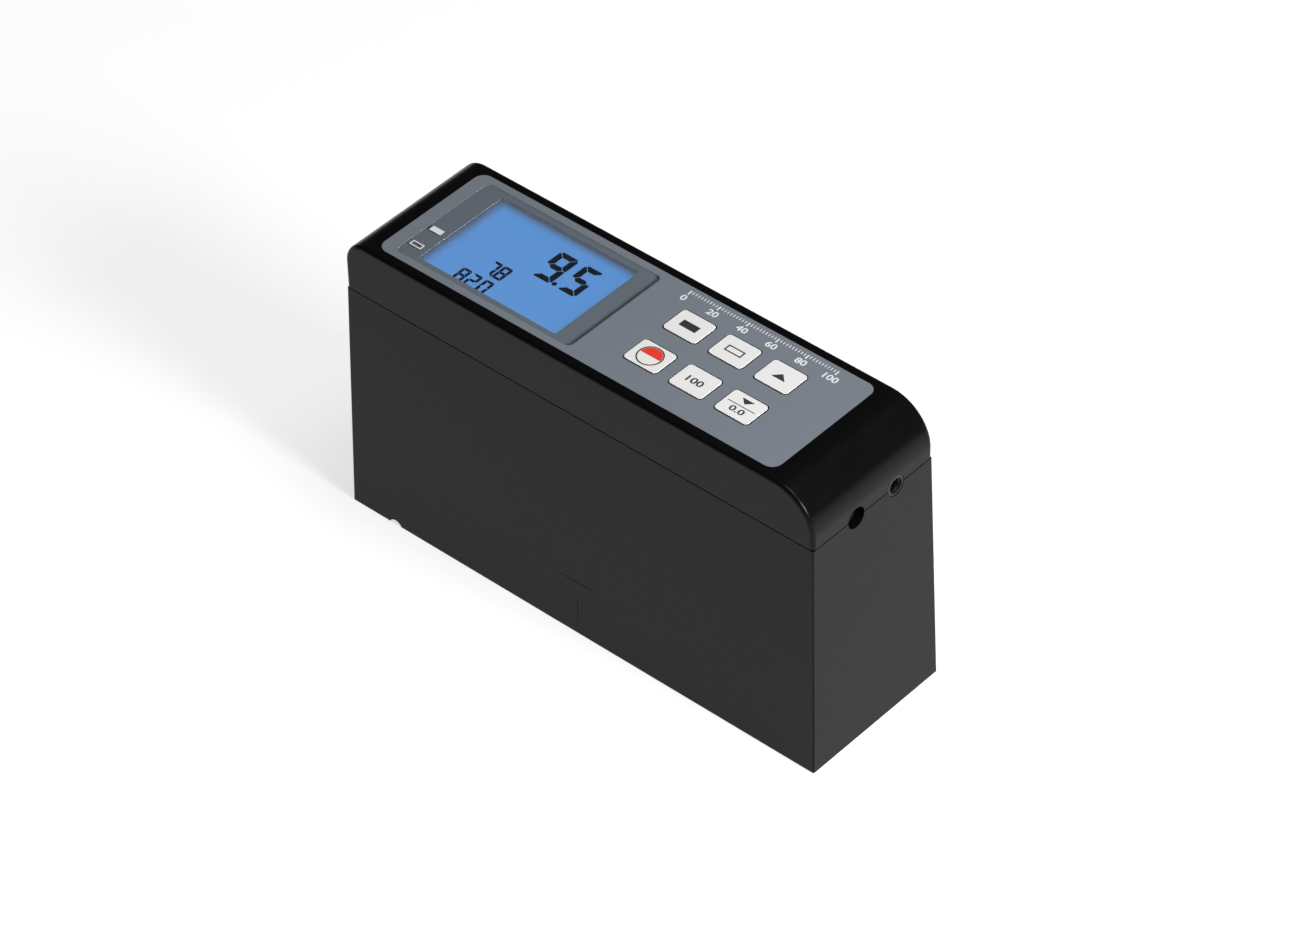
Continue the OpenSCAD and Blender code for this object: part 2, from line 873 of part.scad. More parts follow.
module key_power() { key(-1, -1); }
module key_calibrate() { key(0, -1); }
module key_down() { key(1, -1); }
module key_black() { key(-1, 1); }
module key_white() { key(0, 1); }
module key_up() { key(1, 1); }
module plunger_power() { plunger(-1, -1); }
module plunger_calibrate() { plunger(0, -1); }
module plunger_down() { plunger(1, -1); }
module plunger_black() { plunger(-1, 1); }
module plunger_white() { plunger(0, 1); }
module plunger_up() { plunger(1, 1); }

// Main board and sockets

module main_board() {
    color(board_colour)
        difference() {
            union() {
                block([-board_hl, -board_hw, board_low], [board_hl, board_hw, board_top]);
                block([-board_x, -tongue_hw, board_low], [board_x, tongue_hw, board_top]);
            }
            for (p = post_places)
                translate([p.x, p.y, board_low - over])
                    cylinder(d = small_screw_d + 4 * screw_gap, h = board_t + 2 * over);
        }
}

module processor() {
    chip_x = (lead_x + sensor_ribbon_x1) / 2;
    color("#26282b")
        translate([chip_x - chip_side / 2, -chip_side / 2, board_low - chip_t])
            cube([chip_side, chip_side, chip_t]);
}

module data_jack() {
    color("#2c2d30")
        difference() {
            union() {
                bar_x(socket_front - over, nose_front, jack_y, socket_z, jack_nose_d / 2);
                block([socket_front - jack_body_l, jack_y - jack_w / 2, socket_z - jack_w / 2],
                      [socket_front, jack_y + jack_w / 2, board_low]);
            }
            bar_x(nose_front - jack_depth, nose_front + over, jack_y, socket_z, jack_bore_d / 2);
            bar_x(sleeve_x, nose_front + over, jack_y, socket_z, sleeve_d / 2);
        }
}

module jack_sleeve() {
    color(metal_colour)
        difference() {
            bar_x(sleeve_x, nose_front - sleeve_sunk, jack_y, socket_z, sleeve_d / 2);
            bar_x(sleeve_x - over, nose_front, jack_y, socket_z, jack_bore_d / 2);
        }
}

module power_inlet() {
    color("#1b1b1d")
        difference() {
            block([socket_front - inlet_l, inlet_y - inlet_w / 2, socket_z - inlet_w / 2],
                  [socket_front, inlet_y + inlet_w / 2, board_low]);
            bar_x(socket_front - inlet_depth, socket_front + over, inlet_y, socket_z, inlet_bore_d / 2);
            bar_x(socket_front - inlet_l, socket_front, inlet_y, socket_z, inlet_pin_d / 2);
        }
}

module inlet_pin() {
    color(metal_colour)
        bar_x(socket_front - inlet_l, socket_front - pin_sunk, inlet_y, socket_z, inlet_pin_d / 2);
}

// Cable sockets under the main board: battery, sensor and lamp
module board_sockets() {
    color("#e9e4d4") {
        translate([lead_x, 0, board_low - plug_h / 2])
            cube([plug_l, 2 * (lead_y + lead_r + plug_rim), plug_h], center = true);
        for (x = [sensor_ribbon_x1, lamp_ribbon_x1])
            translate([x, 0, board_low - plug_h / 2])
                cube([plug_l, ribbon_w + 2 * plug_rim, plug_h], center = true);
    }
}

// Optics

// Turns a shape so that its Z runs along a channel from the measured spot
module along(angle) {
    translate([aperture_x, 0, 0])
        rotate([0, angle, 0])
            children();
}

module optical_block() {
    color("#19191b")
        difference() {
            union() {
                translate([aperture_x, block_w / 2, 0])
                    rotate([90, 0, 0])
                        linear_extrude(block_w)
                            block_outline();
                for (side = [-1, 1])
                    ear_plate(side);
            }
            along(0)
                channel_bore(sensor_reach);
            along(lamp_angle)
                channel_bore(lamp_reach);
            for (p = ear_places)
                translate([p.x, p.y, floor_t])
                    cylinder(d = small_screw_d + 4 * screw_gap, h = ear_h + ear_t + over);
        }
}

// Side view of the walls round both channels, cut off at the base
module block_outline() {
    intersection() {
        union() {
            channel_outline(sensor_reach);
            rotate(-lamp_angle)
                channel_outline(lamp_reach);
        }
        translate([-lamp_reach, floor_t])
            square(2 * lamp_reach);
    }
}

module channel_outline(reach) {
    translate([-block_half, -block_half])
        square([2 * block_half, reach + block_half]);
}

// Narrow channel that opens into the lens pocket, with two screw holes in the end face
module channel_bore(reach) {
    translate([0, 0, -block_half])
        cylinder(d = channel_d, h = reach + block_half);
    translate([0, 0, lens_reach])
        cylinder(r = lens_r + fit_gap, h = reach);
    translate([0, 0, reach - small_bite - tip_room])
        at_small_screws()
            cylinder(d = small_screw_d + 2 * screw_gap, h = small_bite + tip_room + over);
}

// Two opposite corners of a small board
module at_small_screws() {
    for (side = [-1, 1])
        translate(side * small_screw_place)
            children();
}

// Plate with two fixing ears that stand on bosses of the base
module ear_plate(side) {
    translate([0, 0, floor_t + ear_h])
        linear_extrude(ear_t)
            for (p = ear_places)
                if (p.y * side > 0) {
                    translate(p)
                        circle(ear_r);
                    translate([p.x - ear_r, min(0, p.y)])
                        square([2 * ear_r, abs(p.y)]);
                }
}

module dust_window() {
    color(glass_colour, 0.5)
        translate([aperture_x, 0, glass_z])
            cylinder(d = glass_d, h = glass_t);
}

module window_seal() {
    color("#1a1a1a")
        translate([aperture_x, 0, glass_z + glass_t])
            difference() {
                cylinder(d = glass_d, h = gasket_t);
                translate([0, 0, -over])
                    cylinder(d = aperture_d + 2 * seal_rim, h = gasket_t + 2 * over);
            }
}

// Plano-convex lens, flat face on the step of the channel
module lens() {
    color(glass_colour, 0.5)
        translate([0, 0, lens_reach])
            intersection() {
                cylinder(r = lens_r, h = lens_edge + lens_curve);
                translate([0, 0, lens_edge - sqrt(lens_curve * lens_curve - lens_r * lens_r)])
                    sphere(lens_curve);
            }
}

module lamp_lens() {
    along(lamp_angle)
        lens();
}

module sensor_lens() {
    along(0)
        lens();
}

// Rings that hold the lenses down, hollowed to their curved faces
module lens_rings() {
    color("#2a2a2c")
        for (angle = [0, lamp_angle])
            along(angle)
                translate([0, 0, lens_reach + lens_edge])
                    difference() {
                        cylinder(r = lens_r, h = ring_t);
                        translate([0, 0, -over])
                            cylinder(r = lens_r - ring_w, h = ring_t + 2 * over);
                        translate([0, 0, -sqrt(lens_curve * lens_curve - lens_r * lens_r)])
                            sphere(lens_curve);
                    }
}

// Round-nosed lamp on its board, pointing down the channel
module lamp() {
    dome_reach = lamp_reach - lamp_l + lamp_d / 2;
    color("#f4f1e6")
        along(lamp_angle) {
            translate([0, 0, lamp_reach - lamp_foot])
                cylinder(d = lamp_d + 2 * lamp_rim, h = lamp_foot);
            translate([0, 0, dome_reach])
                cylinder(d = lamp_d, h = lamp_reach - lamp_foot - dome_reach);
            translate([0, 0, dome_reach])
                sphere(d = lamp_d);
        }
}

// Metal can with a flat window, pointing down the channel
module light_sensor() {
    color(metal_colour)
        along(0)
            difference() {
                union() {
                    translate([0, 0, sensor_reach - sensor_foot])
                        cylinder(d = sensor_d + 2 * sensor_rim, h = sensor_foot);
                    translate([0, 0, sensor_reach - sensor_h])
                        cylinder(d = sensor_d, h = sensor_h);
                }
                translate([0, 0, sensor_reach - sensor_h - over])
                    cylinder(d = 0.7 * sensor_d, h = over + sensor_recess);
            }
}

module small_board(reach) {
    color(board_colour)
        translate([0, 0, reach])
            difference() {
                translate([-small_board_l / 2, -block_w / 2, 0])
                    cube([small_board_l, block_w, board_t]);
                translate([0, 0, -over])
                    at_small_screws()
                        cylinder(d = small_screw_d + 4 * screw_gap, h = board_t + 2 * over);
            }
}

module lamp_board() {
    along(lamp_angle)
        small_board(lamp_reach);
}

module sensor_board() {
    along(0)
        small_board(sensor_reach);
}

// Inner cables

// Flat S between two upright runs, offset by two bend radii
module s_strip(height, bend, t) {
    mid = height / 2;
    translate([-t / 2, 0])
        square([t, mid - bend]);
    translate([2 * bend - t / 2, mid + bend])
        square([t, mid - bend]);
    translate([bend, mid - bend])
        quarter_ring(bend, t, -1);
    translate([bend, mid + bend])
        mirror([0, 1])
            quarter_ring(bend, t, 1);
}

// Quarter of a flat ring in the upper half plane, on the chosen side of Y
module quarter_ring(bend, t, side) {
    intersection() {
        difference() {
            circle(bend + t / 2);
            circle(bend - t / 2);
        }
        translate([side > 0 ? 0 : -2 * bend, 0])
            square(2 * bend);
    }
}

sensor_ribbon_x0 = aperture_x - ribbon_bend;
sensor_ribbon_x1 = aperture_x + ribbon_bend;
sensor_ribbon_h = board_low - plug_h - sensor_reach - board_t;

module sensor_ribbon() {
    color("#b9bcc2")
        translate([sensor_ribbon_x0, ribbon_w / 2, sensor_reach + board_t])
            rotate([90, 0, 0])
                linear_extrude(ribbon_w)
                    s_strip(sensor_ribbon_h, ribbon_bend, ribbon_t);
}

// The lamp ribbon leaves its board squarely and then bends upright
lamp_back = lamp_reach + board_t;
lamp_bend_x = aperture_x + (lamp_back + ribbon_drop) * sin(lamp_angle) - ribbon_bend * cos(lamp_angle);
lamp_bend_z = (lamp_back + ribbon_drop) * cos(lamp_angle) + ribbon_bend * sin(lamp_angle);
lamp_ribbon_x1 = lamp_bend_x + ribbon_bend;

module lamp_ribbon() {
    color("#b9bcc2") {
        along(lamp_angle)
            translate([-ribbon_t / 2, -ribbon_w / 2, lamp_back])
                cube([ribbon_t, ribbon_w, ribbon_drop]);
        translate([lamp_bend_x, ribbon_w / 2, lamp_bend_z])
            rotate([90, 0, 0])
                linear_extrude(ribbon_w)
                    intersection() {
                        difference() {
                            circle(ribbon_bend + ribbon_t / 2);
                            circle(ribbon_bend - ribbon_t / 2);
                        }
                        polygon([[0, 0], [3 * ribbon_bend, 0],
                                 3 * ribbon_bend * [cos(lamp_angle), -sin(lamp_angle)]]);
                    }
        translate([lamp_ribbon_x1 - ribbon_t / 2, -ribbon_w / 2, lamp_bend_z])
            cube([ribbon_t, ribbon_w, board_low - plug_h - lamp_bend_z]);
    }
}

// Two round wires from the top of the battery holder, through the bay wall and up to the main board
module battery_leads() {
    color("#a02020")
        for (side = [-1, 1])
            translate([0, side * lead_y, 0]) {
                bar_x(bay_x + holder_hl, lead_x - lead_bend, 0, lead_z, lead_r);
                translate([lead_x - lead_bend, 0, lead_z + lead_bend])
                    rotate([90, 0, 0])
                        rotate([0, 0, -90])
                            wire_bend(lead_bend, lead_r);
                translate([lead_x, 0, lead_z + lead_bend])
                    cylinder(r = lead_r, h = board_low - plug_h - lead_z - lead_bend);
            }
}

module wire_bend(bend, r) {
    rotate_extrude(angle = 90)
        translate([bend, 0])
            circle(r);
}

// Batteries

// Upright cell with its raised end up or, turned, down
module cell(column, row, turned) {
    z = turned ? cell_z0 + contact_t + fit_gap : cell_z1 - contact_t - fit_gap;
    color("#3f6fae")
        translate([bay_x + column * cell_x, row * cell_y, z])
            mirror([0, 0, turned ? 0 : 1]) {
                cylinder(d = 0.36 * cell_d, h = nub_l + over);
                translate([0, 0, nub_l])
                    cylinder(d = cell_d, h = cell_l - nub_l);
            }
}

module cell_left_front() { cell(-1, -1, true); }
module cell_left_back() { cell(-1, 1, false); }
module cell_right_front() { cell(1, -1, false); }
module cell_right_back() { cell(1, 1, true); }

// Two cells are clipped in from the left and two from the right
module battery_holder() {
    color("#202124")
        difference() {
            block([bay_x - holder_hl, -holder_w / 2, holder_z0],
                  [bay_x + holder_hl, holder_w / 2, holder_z1]);
            for (column = [-1, 1], row = [-1, 1])
                translate([bay_x + column * cell_x, row * cell_y, cell_z0])
                    cylinder(r = cell_r + fit_gap, h = cell_z1 - cell_z0);
        }
}

// Places a contact on the end wall at a cell's flat end, or at its raised end
module at_contacts(raised) {
    for (column = [-1, 1], row = [-1, 1]) {
        low = (column * row > 0) == raised;
        translate([bay_x + column * cell_x, row * cell_y, low ? cell_z0 : cell_z1])
            mirror([0, 0, low ? 0 : 1])
                children();
    }
}

// Bowed spring strip on two flat feet
module contact_leaves() {
    bow = leaf_room - contact_t;
    half = 0.7 * cell_r;
    inside = leaf_tip - contact_t / 2;
    color(brass_colour)
        at_contacts(false)
            translate([0, leaf_w / 2, 0])
                rotate([90, 0, 0])
                    linear_extrude(leaf_w)
                        polygon([[-half, 0], [-half, contact_t], [leaf_foot - half, contact_t],
                                 [-leaf_tip, bow + contact_t], [leaf_tip, bow + contact_t],
                                 [half - leaf_foot, contact_t], [half, contact_t], [half, 0],
                                 [half - leaf_foot, 0], [inside, bow],
                                 [-inside, bow], [leaf_foot - half, 0]]);
}

module contact_plates() {
    color(brass_colour)
        at_contacts(true)
            translate([-plate_side / 2, -plate_side / 2, 0])
                cube([plate_side, plate_side, contact_t]);
}

// Door with two hooks on one end, a catch on the other and a pad under the battery holder
module battery_door() {
    x0 = bay_x0 + door_gap;
    x1 = bay_x1 - door_gap;
    hw = bay_hw + door_ledge - door_gap;
    pad_top = holder_z0 - 3 * fit_gap;
    color(case_colour) {
        difference() {
            block([x0, -hw, door_sunk], [x1, hw, door_top]);
            for (i = [1:grip_count])
                translate([x0 + grip_in + i * grip_step, 0, door_sunk])
                    cube([grip_step / 2, hw, 2 * grip_deep], center = true);
        }
        block([x0 + fit_gap, -catch_w / 2, door_top - section_t],
              [x0 + fit_gap + catch_t, catch_w / 2, door_top + catch_h]);
        block([bay_x - pad_side / 2, -pad_side / 2, door_top - section_t],
              [bay_x + pad_side / 2, pad_side / 2, pad_top]);
        for (side = [-1, 1])
            translate([0, side * hook_y, 0]) {
                block([x1 - hook_t, -hook_w / 2, door_top - section_t], [x1, hook_w / 2, hook_z + hook_t]);
                block([x1 - hook_t, -hook_w / 2, hook_z],
                      [bay_x1 + hook_reach, hook_w / 2, hook_z + hook_t]);
            }
    }
}

// Screws

module case_screws() {
    color(metal_colour)
        at_towers()
            translate([0, 0, part_z - seat_t])
                screw(case_screw_d, case_head_d, seat_t + seam_gap + case_bite - tip_room);
}

module board_screws() {
    color(metal_colour)
        for (p = post_places)
            translate([p.x, p.y, board_low])
                screw(small_screw_d, small_head_d, board_t + ceiling_z - board_top - tip_room);
}

module block_screws() {
    color(metal_colour)
        for (p = ear_places)
            translate([p.x, p.y, floor_t + ear_h + ear_t])
                mirror([0, 0, 1])
                    screw(small_screw_d, small_head_d, ear_h + ear_t);
}

module optics_screws() {
    color(metal_colour) {
        along(0)
            small_board_screws(sensor_reach);
        along(lamp_angle)
            small_board_screws(lamp_reach);
    }
}

module small_board_screws(reach) {
    translate([0, 0, reach + board_t])
        at_small_screws()
            mirror([0, 0, 1])
                screw(small_screw_d, small_head_d, board_t + small_bite);
}

lower_case();
top_cover();
overlay_panel();
display_window();
display_mask();
lcd_glass();
backlight();
lcd_strips();
lcd_frame();
main_board();
processor();
board_sockets();
switch_housings();
switch_domes();
key_power();
key_calibrate();
key_down();
key_black();
key_white();
key_up();
plunger_power();
plunger_calibrate();
plunger_down();
plunger_black();
plunger_white();
plunger_up();
data_jack();
jack_sleeve();
power_inlet();
inlet_pin();
optical_block();
dust_window();
window_seal();
lamp_lens();
sensor_lens();
lens_rings();
lamp();
lamp_board();
light_sensor();
sensor_board();
sensor_ribbon();
lamp_ribbon();
battery_holder();
cell_left_front();
cell_left_back();
cell_right_front();
cell_right_back();
contact_leaves();
contact_plates();
battery_leads();
battery_door();
case_screws();
board_screws();
block_screws();
optics_screws();
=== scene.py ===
import bpy
import bmesh
import json
from math import cos, sin, pi, radians
from mathutils import Matrix, Vector


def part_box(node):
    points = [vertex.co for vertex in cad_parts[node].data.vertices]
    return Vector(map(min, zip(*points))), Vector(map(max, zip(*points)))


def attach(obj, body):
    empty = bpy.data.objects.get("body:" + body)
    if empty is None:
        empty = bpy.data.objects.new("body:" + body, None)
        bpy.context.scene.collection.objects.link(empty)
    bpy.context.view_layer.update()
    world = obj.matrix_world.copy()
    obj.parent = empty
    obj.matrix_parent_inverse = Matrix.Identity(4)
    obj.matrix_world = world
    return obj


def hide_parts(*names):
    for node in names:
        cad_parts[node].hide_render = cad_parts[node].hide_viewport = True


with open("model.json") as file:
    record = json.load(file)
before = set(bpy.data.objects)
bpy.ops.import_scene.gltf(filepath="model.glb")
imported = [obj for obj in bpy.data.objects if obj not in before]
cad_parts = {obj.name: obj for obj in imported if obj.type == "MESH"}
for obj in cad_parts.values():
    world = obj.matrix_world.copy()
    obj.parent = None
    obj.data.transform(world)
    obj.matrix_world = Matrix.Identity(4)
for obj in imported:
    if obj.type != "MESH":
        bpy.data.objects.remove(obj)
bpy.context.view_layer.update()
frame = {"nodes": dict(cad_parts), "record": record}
nodes = frame["nodes"]
mm = 0.001
micron = 0.000001
print("frame loaded,", len(nodes), "nodes")


def addToScene(obj):
    bpy.context.scene.collection.objects.link(obj)


# camera, lens and sensor in millimetres

camera = {"place": (0.613699, -0.668549, 0.842319), "azimuth": 42.383, "elevation": 41.658,
          "roll": -1.482, "lens": 150.3, "sensor": 36, "nearest": 0.01}


def placeCamera(s):
    az, el, roll = radians(s["azimuth"]), radians(s["elevation"]), radians(s["roll"])
    flatRight = Vector((cos(az), sin(az), 0))
    flatUp = Vector((-sin(az) * sin(el), cos(az) * sin(el), cos(el)))
    back = Vector((sin(az) * cos(el), -cos(az) * cos(el), sin(el)))
    right = cos(roll) * flatRight + sin(roll) * flatUp
    up = cos(roll) * flatUp - sin(roll) * flatRight
    data = bpy.data.cameras.new("photoCamera")
    data.lens = s["lens"]
    data.sensor_fit = "HORIZONTAL"
    data.sensor_width = s["sensor"]
    data.clip_start = s["nearest"]
    cam = bpy.data.objects.new("photoCamera", data)
    turn = Matrix((right, up, back)).transposed().to_4x4()
    cam.matrix_world = Matrix.Translation(s["place"]) @ turn
    addToScene(cam)
    bpy.context.scene.camera = cam


placeCamera(camera)
bpy.context.scene.view_settings.view_transform = "Standard"


# small node helpers

def newMaterial(name):
    mat = bpy.data.materials.new(name)
    mat.use_nodes = True
    return mat, mat.node_tree, mat.node_tree.nodes["Principled BSDF"]


def surfaceOf(tree):
    return tree.nodes["Material Output"].inputs["Surface"]


def addNode(tree, kind, **values):
    node = tree.nodes.new(kind)
    for key, value in values.items():
        setattr(node, key, value)
    return node


def setInputs(node, values):
    for label, value in values.items():
        node.inputs[label].default_value = value


def join(tree, source, target):
    tree.links.new(source, target)


def newGroup(name, outputs):
    # every shared effect takes the place on the piece and the pitch of its pattern
    group = bpy.data.node_groups.new(name, "ShaderNodeTree")
    for label, kind in (("Place", "NodeSocketVector"), ("Pitch", "NodeSocketFloat")):
        group.interface.new_socket(name=label, in_out="INPUT", socket_type=kind)
    for label in outputs:
        group.interface.new_socket(name=label, in_out="OUTPUT", socket_type="NodeSocketFloat")
    return group, group.nodes.new("NodeGroupInput"), group.nodes.new("NodeGroupOutput")


def mathNode(tree, operation, first, second):
    node = addNode(tree, "ShaderNodeMath", operation=operation)
    for socket, value in zip(node.inputs, (first, second)):
        if isinstance(value, (int, float)):
            socket.default_value = value
        else:
            join(tree, value, socket)
    return node.outputs[0]


def spread(tree, value, low, high):
    node = addNode(tree, "ShaderNodeMapRange")
    join(tree, value, node.inputs["Value"])
    setInputs(node, {"To Min": low, "To Max": high})
    return node.outputs["Result"]


def fadeIn(tree, value, start, end):
    node = addNode(tree, "ShaderNodeMapRange", interpolation_type="SMOOTHSTEP")
    join(tree, value, node.inputs["Value"])
    setInputs(node, {"From Min": start, "From Max": end})
    return node.outputs["Result"]


def tint(tree, factor, first, second):
    # mixes two colours, each written as three numbers or taken from a node
    node = addNode(tree, "ShaderNodeMix", data_type="RGBA")
    join(tree, factor, node.inputs["Factor"])
    for label, colour in (("A", first), ("B", second)):
        if isinstance(colour, tuple):
            node.inputs[label].default_value = (*colour, 1)
        else:
            join(tree, colour, node.inputs[label])
    return node.outputs["Result"]


def mixShaders(tree, factor, first, second):
    node = addNode(tree, "ShaderNodeMixShader")
    for socket, source in zip(node.inputs, (factor, first, second)):
        join(tree, source, socket)
    return node.outputs[0]


def objectPlace(tree):
    return addNode(tree, "ShaderNodeTexCoord").outputs["Object"]


# shared surface effects

grainSettings = {"detail": 3, "harsh": 0.6, "pitPitch": 0.7, "pitDepth": 0.5,
                 "broadPitch": 0.02, "broadDetail": 4}


def makeMouldGrain(s):
    group, start, end = newGroup("mouldGrain", ("Height", "Mottle"))
    place, pitch = start.outputs["Place"], start.outputs["Pitch"]
    fine = addNode(group, "ShaderNodeTexNoise")
    setInputs(fine, {"Detail": s["detail"], "Roughness": s["harsh"]})
    pits = addNode(group, "ShaderNodeTexVoronoi", feature="SMOOTH_F1")
    broad = addNode(group, "ShaderNodeTexNoise")
    setInputs(broad, {"Detail": s["broadDetail"]})
    for pattern in (fine, pits, broad):
        join(group, place, pattern.inputs["Vector"])
    join(group, pitch, fine.inputs["Scale"])
    join(group, mathNode(group, "MULTIPLY", pitch, s["pitPitch"]), pits.inputs["Scale"])
    join(group, mathNode(group, "MULTIPLY", pitch, s["broadPitch"]), broad.inputs["Scale"])
    low = mathNode(group, "MULTIPLY", pits.outputs["Distance"], s["pitDepth"])
    join(group, mathNode(group, "ADD", fine.outputs[0], low), end.inputs["Height"])
    join(group, broad.outputs[0], end.inputs["Mottle"])
    return group


smudgeSettings = {"detail": 5, "swirl": 1.2, "begins": 0.42, "full": 0.72}


def makeHandling(s):
    # faint fingerprints and wipe marks, as a mask
    group, start, end = newGroup("handling", ("Smudge",))
    swirls = addNode(group, "ShaderNodeTexNoise")
    setInputs(swirls, {"Detail": s["detail"], "Distortion": s["swirl"]})
    join(group, start.outputs["Place"], swirls.inputs["Vector"])
    join(group, start.outputs["Pitch"], swirls.inputs["Scale"])
    smudge = fadeIn(group, swirls.outputs[0], s["begins"], s["full"])
    join(group, smudge, end.inputs["Smudge"])
    return group


mouldGrain = makeMouldGrain(grainSettings)
handling = makeHandling(smudgeSettings)


def useGroup(tree, group, place, pitch):
    node = addNode(tree, "ShaderNodeGroup", node_tree=group)
    join(tree, place, node.inputs["Place"])
    node.inputs["Pitch"].default_value = pitch
    return node


def bumpFrom(tree, height, depth, shader):
    bump = addNode(tree, "ShaderNodeBump")
    setInputs(bump, {"Strength": 1, "Distance": depth})
    join(tree, height, bump.inputs["Height"])
    join(tree, bump.outputs["Normal"], shader.inputs["Normal"])


# finishes, one dictionary for each material slot
# the mottle mixes colour and fleck, it and the smudges vary rough, pitch counts grains in a metre

finishes = {
    "case_black": {"colour": (0.0020, 0.0020, 0.0021), "fleck": (0.0030, 0.0030, 0.0031),
                   "rough": (0.24, 0.30), "pitch": 2600, "depth": 4 * micron, "shine": 0.13},
    "panel_grey": {"colour": (0.176, 0.197, 0.229), "fleck": (0.187, 0.208, 0.242),
                   "rough": (0.46, 0.56), "pitch": 5200, "depth": 3 * micron, "shine": 0.3},
    "mask_grey": {"colour": (0.147, 0.167, 0.191), "fleck": (0.157, 0.178, 0.203),
                  "rough": (0.5, 0.62), "pitch": 4200, "depth": 2 * micron, "shine": 0.2},
    "key_white": {"colour": (0.80, 0.795, 0.78), "fleck": (0.83, 0.825, 0.81),
                  "rough": (0.38, 0.48), "pitch": 3600, "depth": 3 * micron, "shine": 0.4},
    "light_guide": {"colour": (0.62, 0.68, 0.74), "fleck": (0.70, 0.75, 0.80),
                    "rough": (0.2, 0.3), "pitch": 1800, "depth": 2 * micron, "shine": 0.5},
    "contact_rubber": {"colour": (0.02, 0.02, 0.021), "fleck": (0.045, 0.043, 0.04),
                       "rough": (0.65, 0.8), "pitch": 3800, "depth": 10 * micron, "shine": 0.3},
    "frame_white": {"colour": (0.68, 0.68, 0.65), "fleck": (0.74, 0.74, 0.71),
                    "rough": (0.4, 0.5), "pitch": 3000, "depth": 5 * micron, "shine": 0.4},
    "part_black": {"colour": (0.010, 0.010, 0.011), "fleck": (0.016, 0.016, 0.017),
                   "rough": (0.42, 0.55), "pitch": 2800, "depth": 8 * micron, "shine": 0.4},
    "socket_ivory": {"colour": (0.66, 0.60, 0.46), "fleck": (0.72, 0.66, 0.52),
                     "rough": (0.4, 0.5), "pitch": 3000, "depth": 5 * micron, "shine": 0.4},
    "socket_grey": {"colour": (0.007, 0.007, 0.0075), "fleck": (0.011, 0.011, 0.0115),
                    "rough": (0.36, 0.46), "pitch": 3200, "depth": 5 * micron, "shine": 0.35},
    "block_black": {"colour": (0.006, 0.006, 0.0065), "fleck": (0.010, 0.010, 0.0105),
                    "rough": (0.75, 0.88), "pitch": 2200, "depth": 12 * micron, "shine": 0.2},
    "lamp_white": {"colour": (0.76, 0.73, 0.64), "fleck": (0.83, 0.80, 0.72),
                   "rough": (0.14, 0.22), "pitch": 900, "depth": 2 * micron, "shine": 0.5},
    "cable_grey": {"colour": (0.42, 0.43, 0.46), "fleck": (0.50, 0.51, 0.54),
                   "rough": (0.4, 0.52), "pitch": 1600, "depth": 10 * micron, "shine": 0.4},
    "cable_red": {"colour": (0.30, 0.012, 0.012), "fleck": (0.38, 0.02, 0.018),
                  "rough": (0.35, 0.45), "pitch": 2400, "depth": 6 * micron, "shine": 0.4},
    "cell_blue": {"colour": (0.030, 0.10, 0.30), "fleck": (0.045, 0.14, 0.38),
                  "rough": (0.2, 0.3), "pitch": 1500, "depth": 3 * micron, "shine": 0.5},
    "steel": {"colour": (0.52, 0.53, 0.55), "fleck": (0.62, 0.63, 0.65),
              "rough": (0.24, 0.36), "pitch": 2600, "depth": 4 * micron, "metal": 1},
    "nickel": {"colour": (0.66, 0.64, 0.60), "fleck": (0.76, 0.74, 0.70),
               "rough": (0.14, 0.24), "pitch": 2400, "depth": 3 * micron, "metal": 1},
    "contact_brass": {"colour": (0.66, 0.44, 0.14), "fleck": (0.76, 0.54, 0.22),
                      "rough": (0.22, 0.34), "pitch": 2400, "depth": 4 * micron, "metal": 1},
}
inks = {
    "whitePrint": {"colour": (0.74, 0.75, 0.76), "fleck": (0.80, 0.81, 0.82),
                   "rough": (0.5, 0.6), "pitch": 6000, "depth": 2 * micron, "shine": 0.3},
    "darkPrint": {"colour": (0.030, 0.030, 0.032), "fleck": (0.045, 0.045, 0.047),
                  "rough": (0.5, 0.6), "pitch": 6000, "depth": 2 * micron, "shine": 0.3},
    "redPrint": {"colour": (0.78, 0.040, 0.022), "fleck": (0.84, 0.055, 0.032),
                 "rough": (0.45, 0.55), "pitch": 6000, "depth": 2 * micron, "shine": 0.3},
    "segmentInk": {"colour": (0.0016, 0.0024, 0.005), "fleck": (0.0026, 0.004, 0.008),
                   "rough": (0.35, 0.45), "pitch": 5000, "depth": 1 * micron, "shine": 0.1},
}
wear = {"pitch": 90, "smudge": 0.6, "mottle": 0.6}
plainShine = 0.5


def makeFinish(name, s):
    mat, tree, shader = newMaterial(name)
    place = objectPlace(tree)
    grain = useGroup(tree, mouldGrain, place, s["pitch"])
    marks = useGroup(tree, handling, place, wear["pitch"])
    smudge = mathNode(tree, "MULTIPLY", marks.outputs["Smudge"], wear["smudge"])
    mottle = mathNode(tree, "MULTIPLY", grain.outputs["Mottle"], wear["mottle"])
    worn = mathNode(tree, "ADD", smudge, mottle)
    colour = tint(tree, grain.outputs["Mottle"], s["colour"], s["fleck"])
    join(tree, colour, shader.inputs["Base Color"])
    join(tree, spread(tree, worn, *s["rough"]), shader.inputs["Roughness"])
    bumpFrom(tree, grain.outputs["Height"], s["depth"], shader)
    setInputs(shader, {"Metallic": s.get("metal", 0),
                       "Specular IOR Level": s.get("shine", plainShine)})
    return mat


clearSettings = {"colour": (0.97, 0.985, 1), "through": (0.95, 0.97, 0.98),
                 "rough": (0.02, 0.05), "pitch": 70, "ior": 1.49, "shine": 0.3}


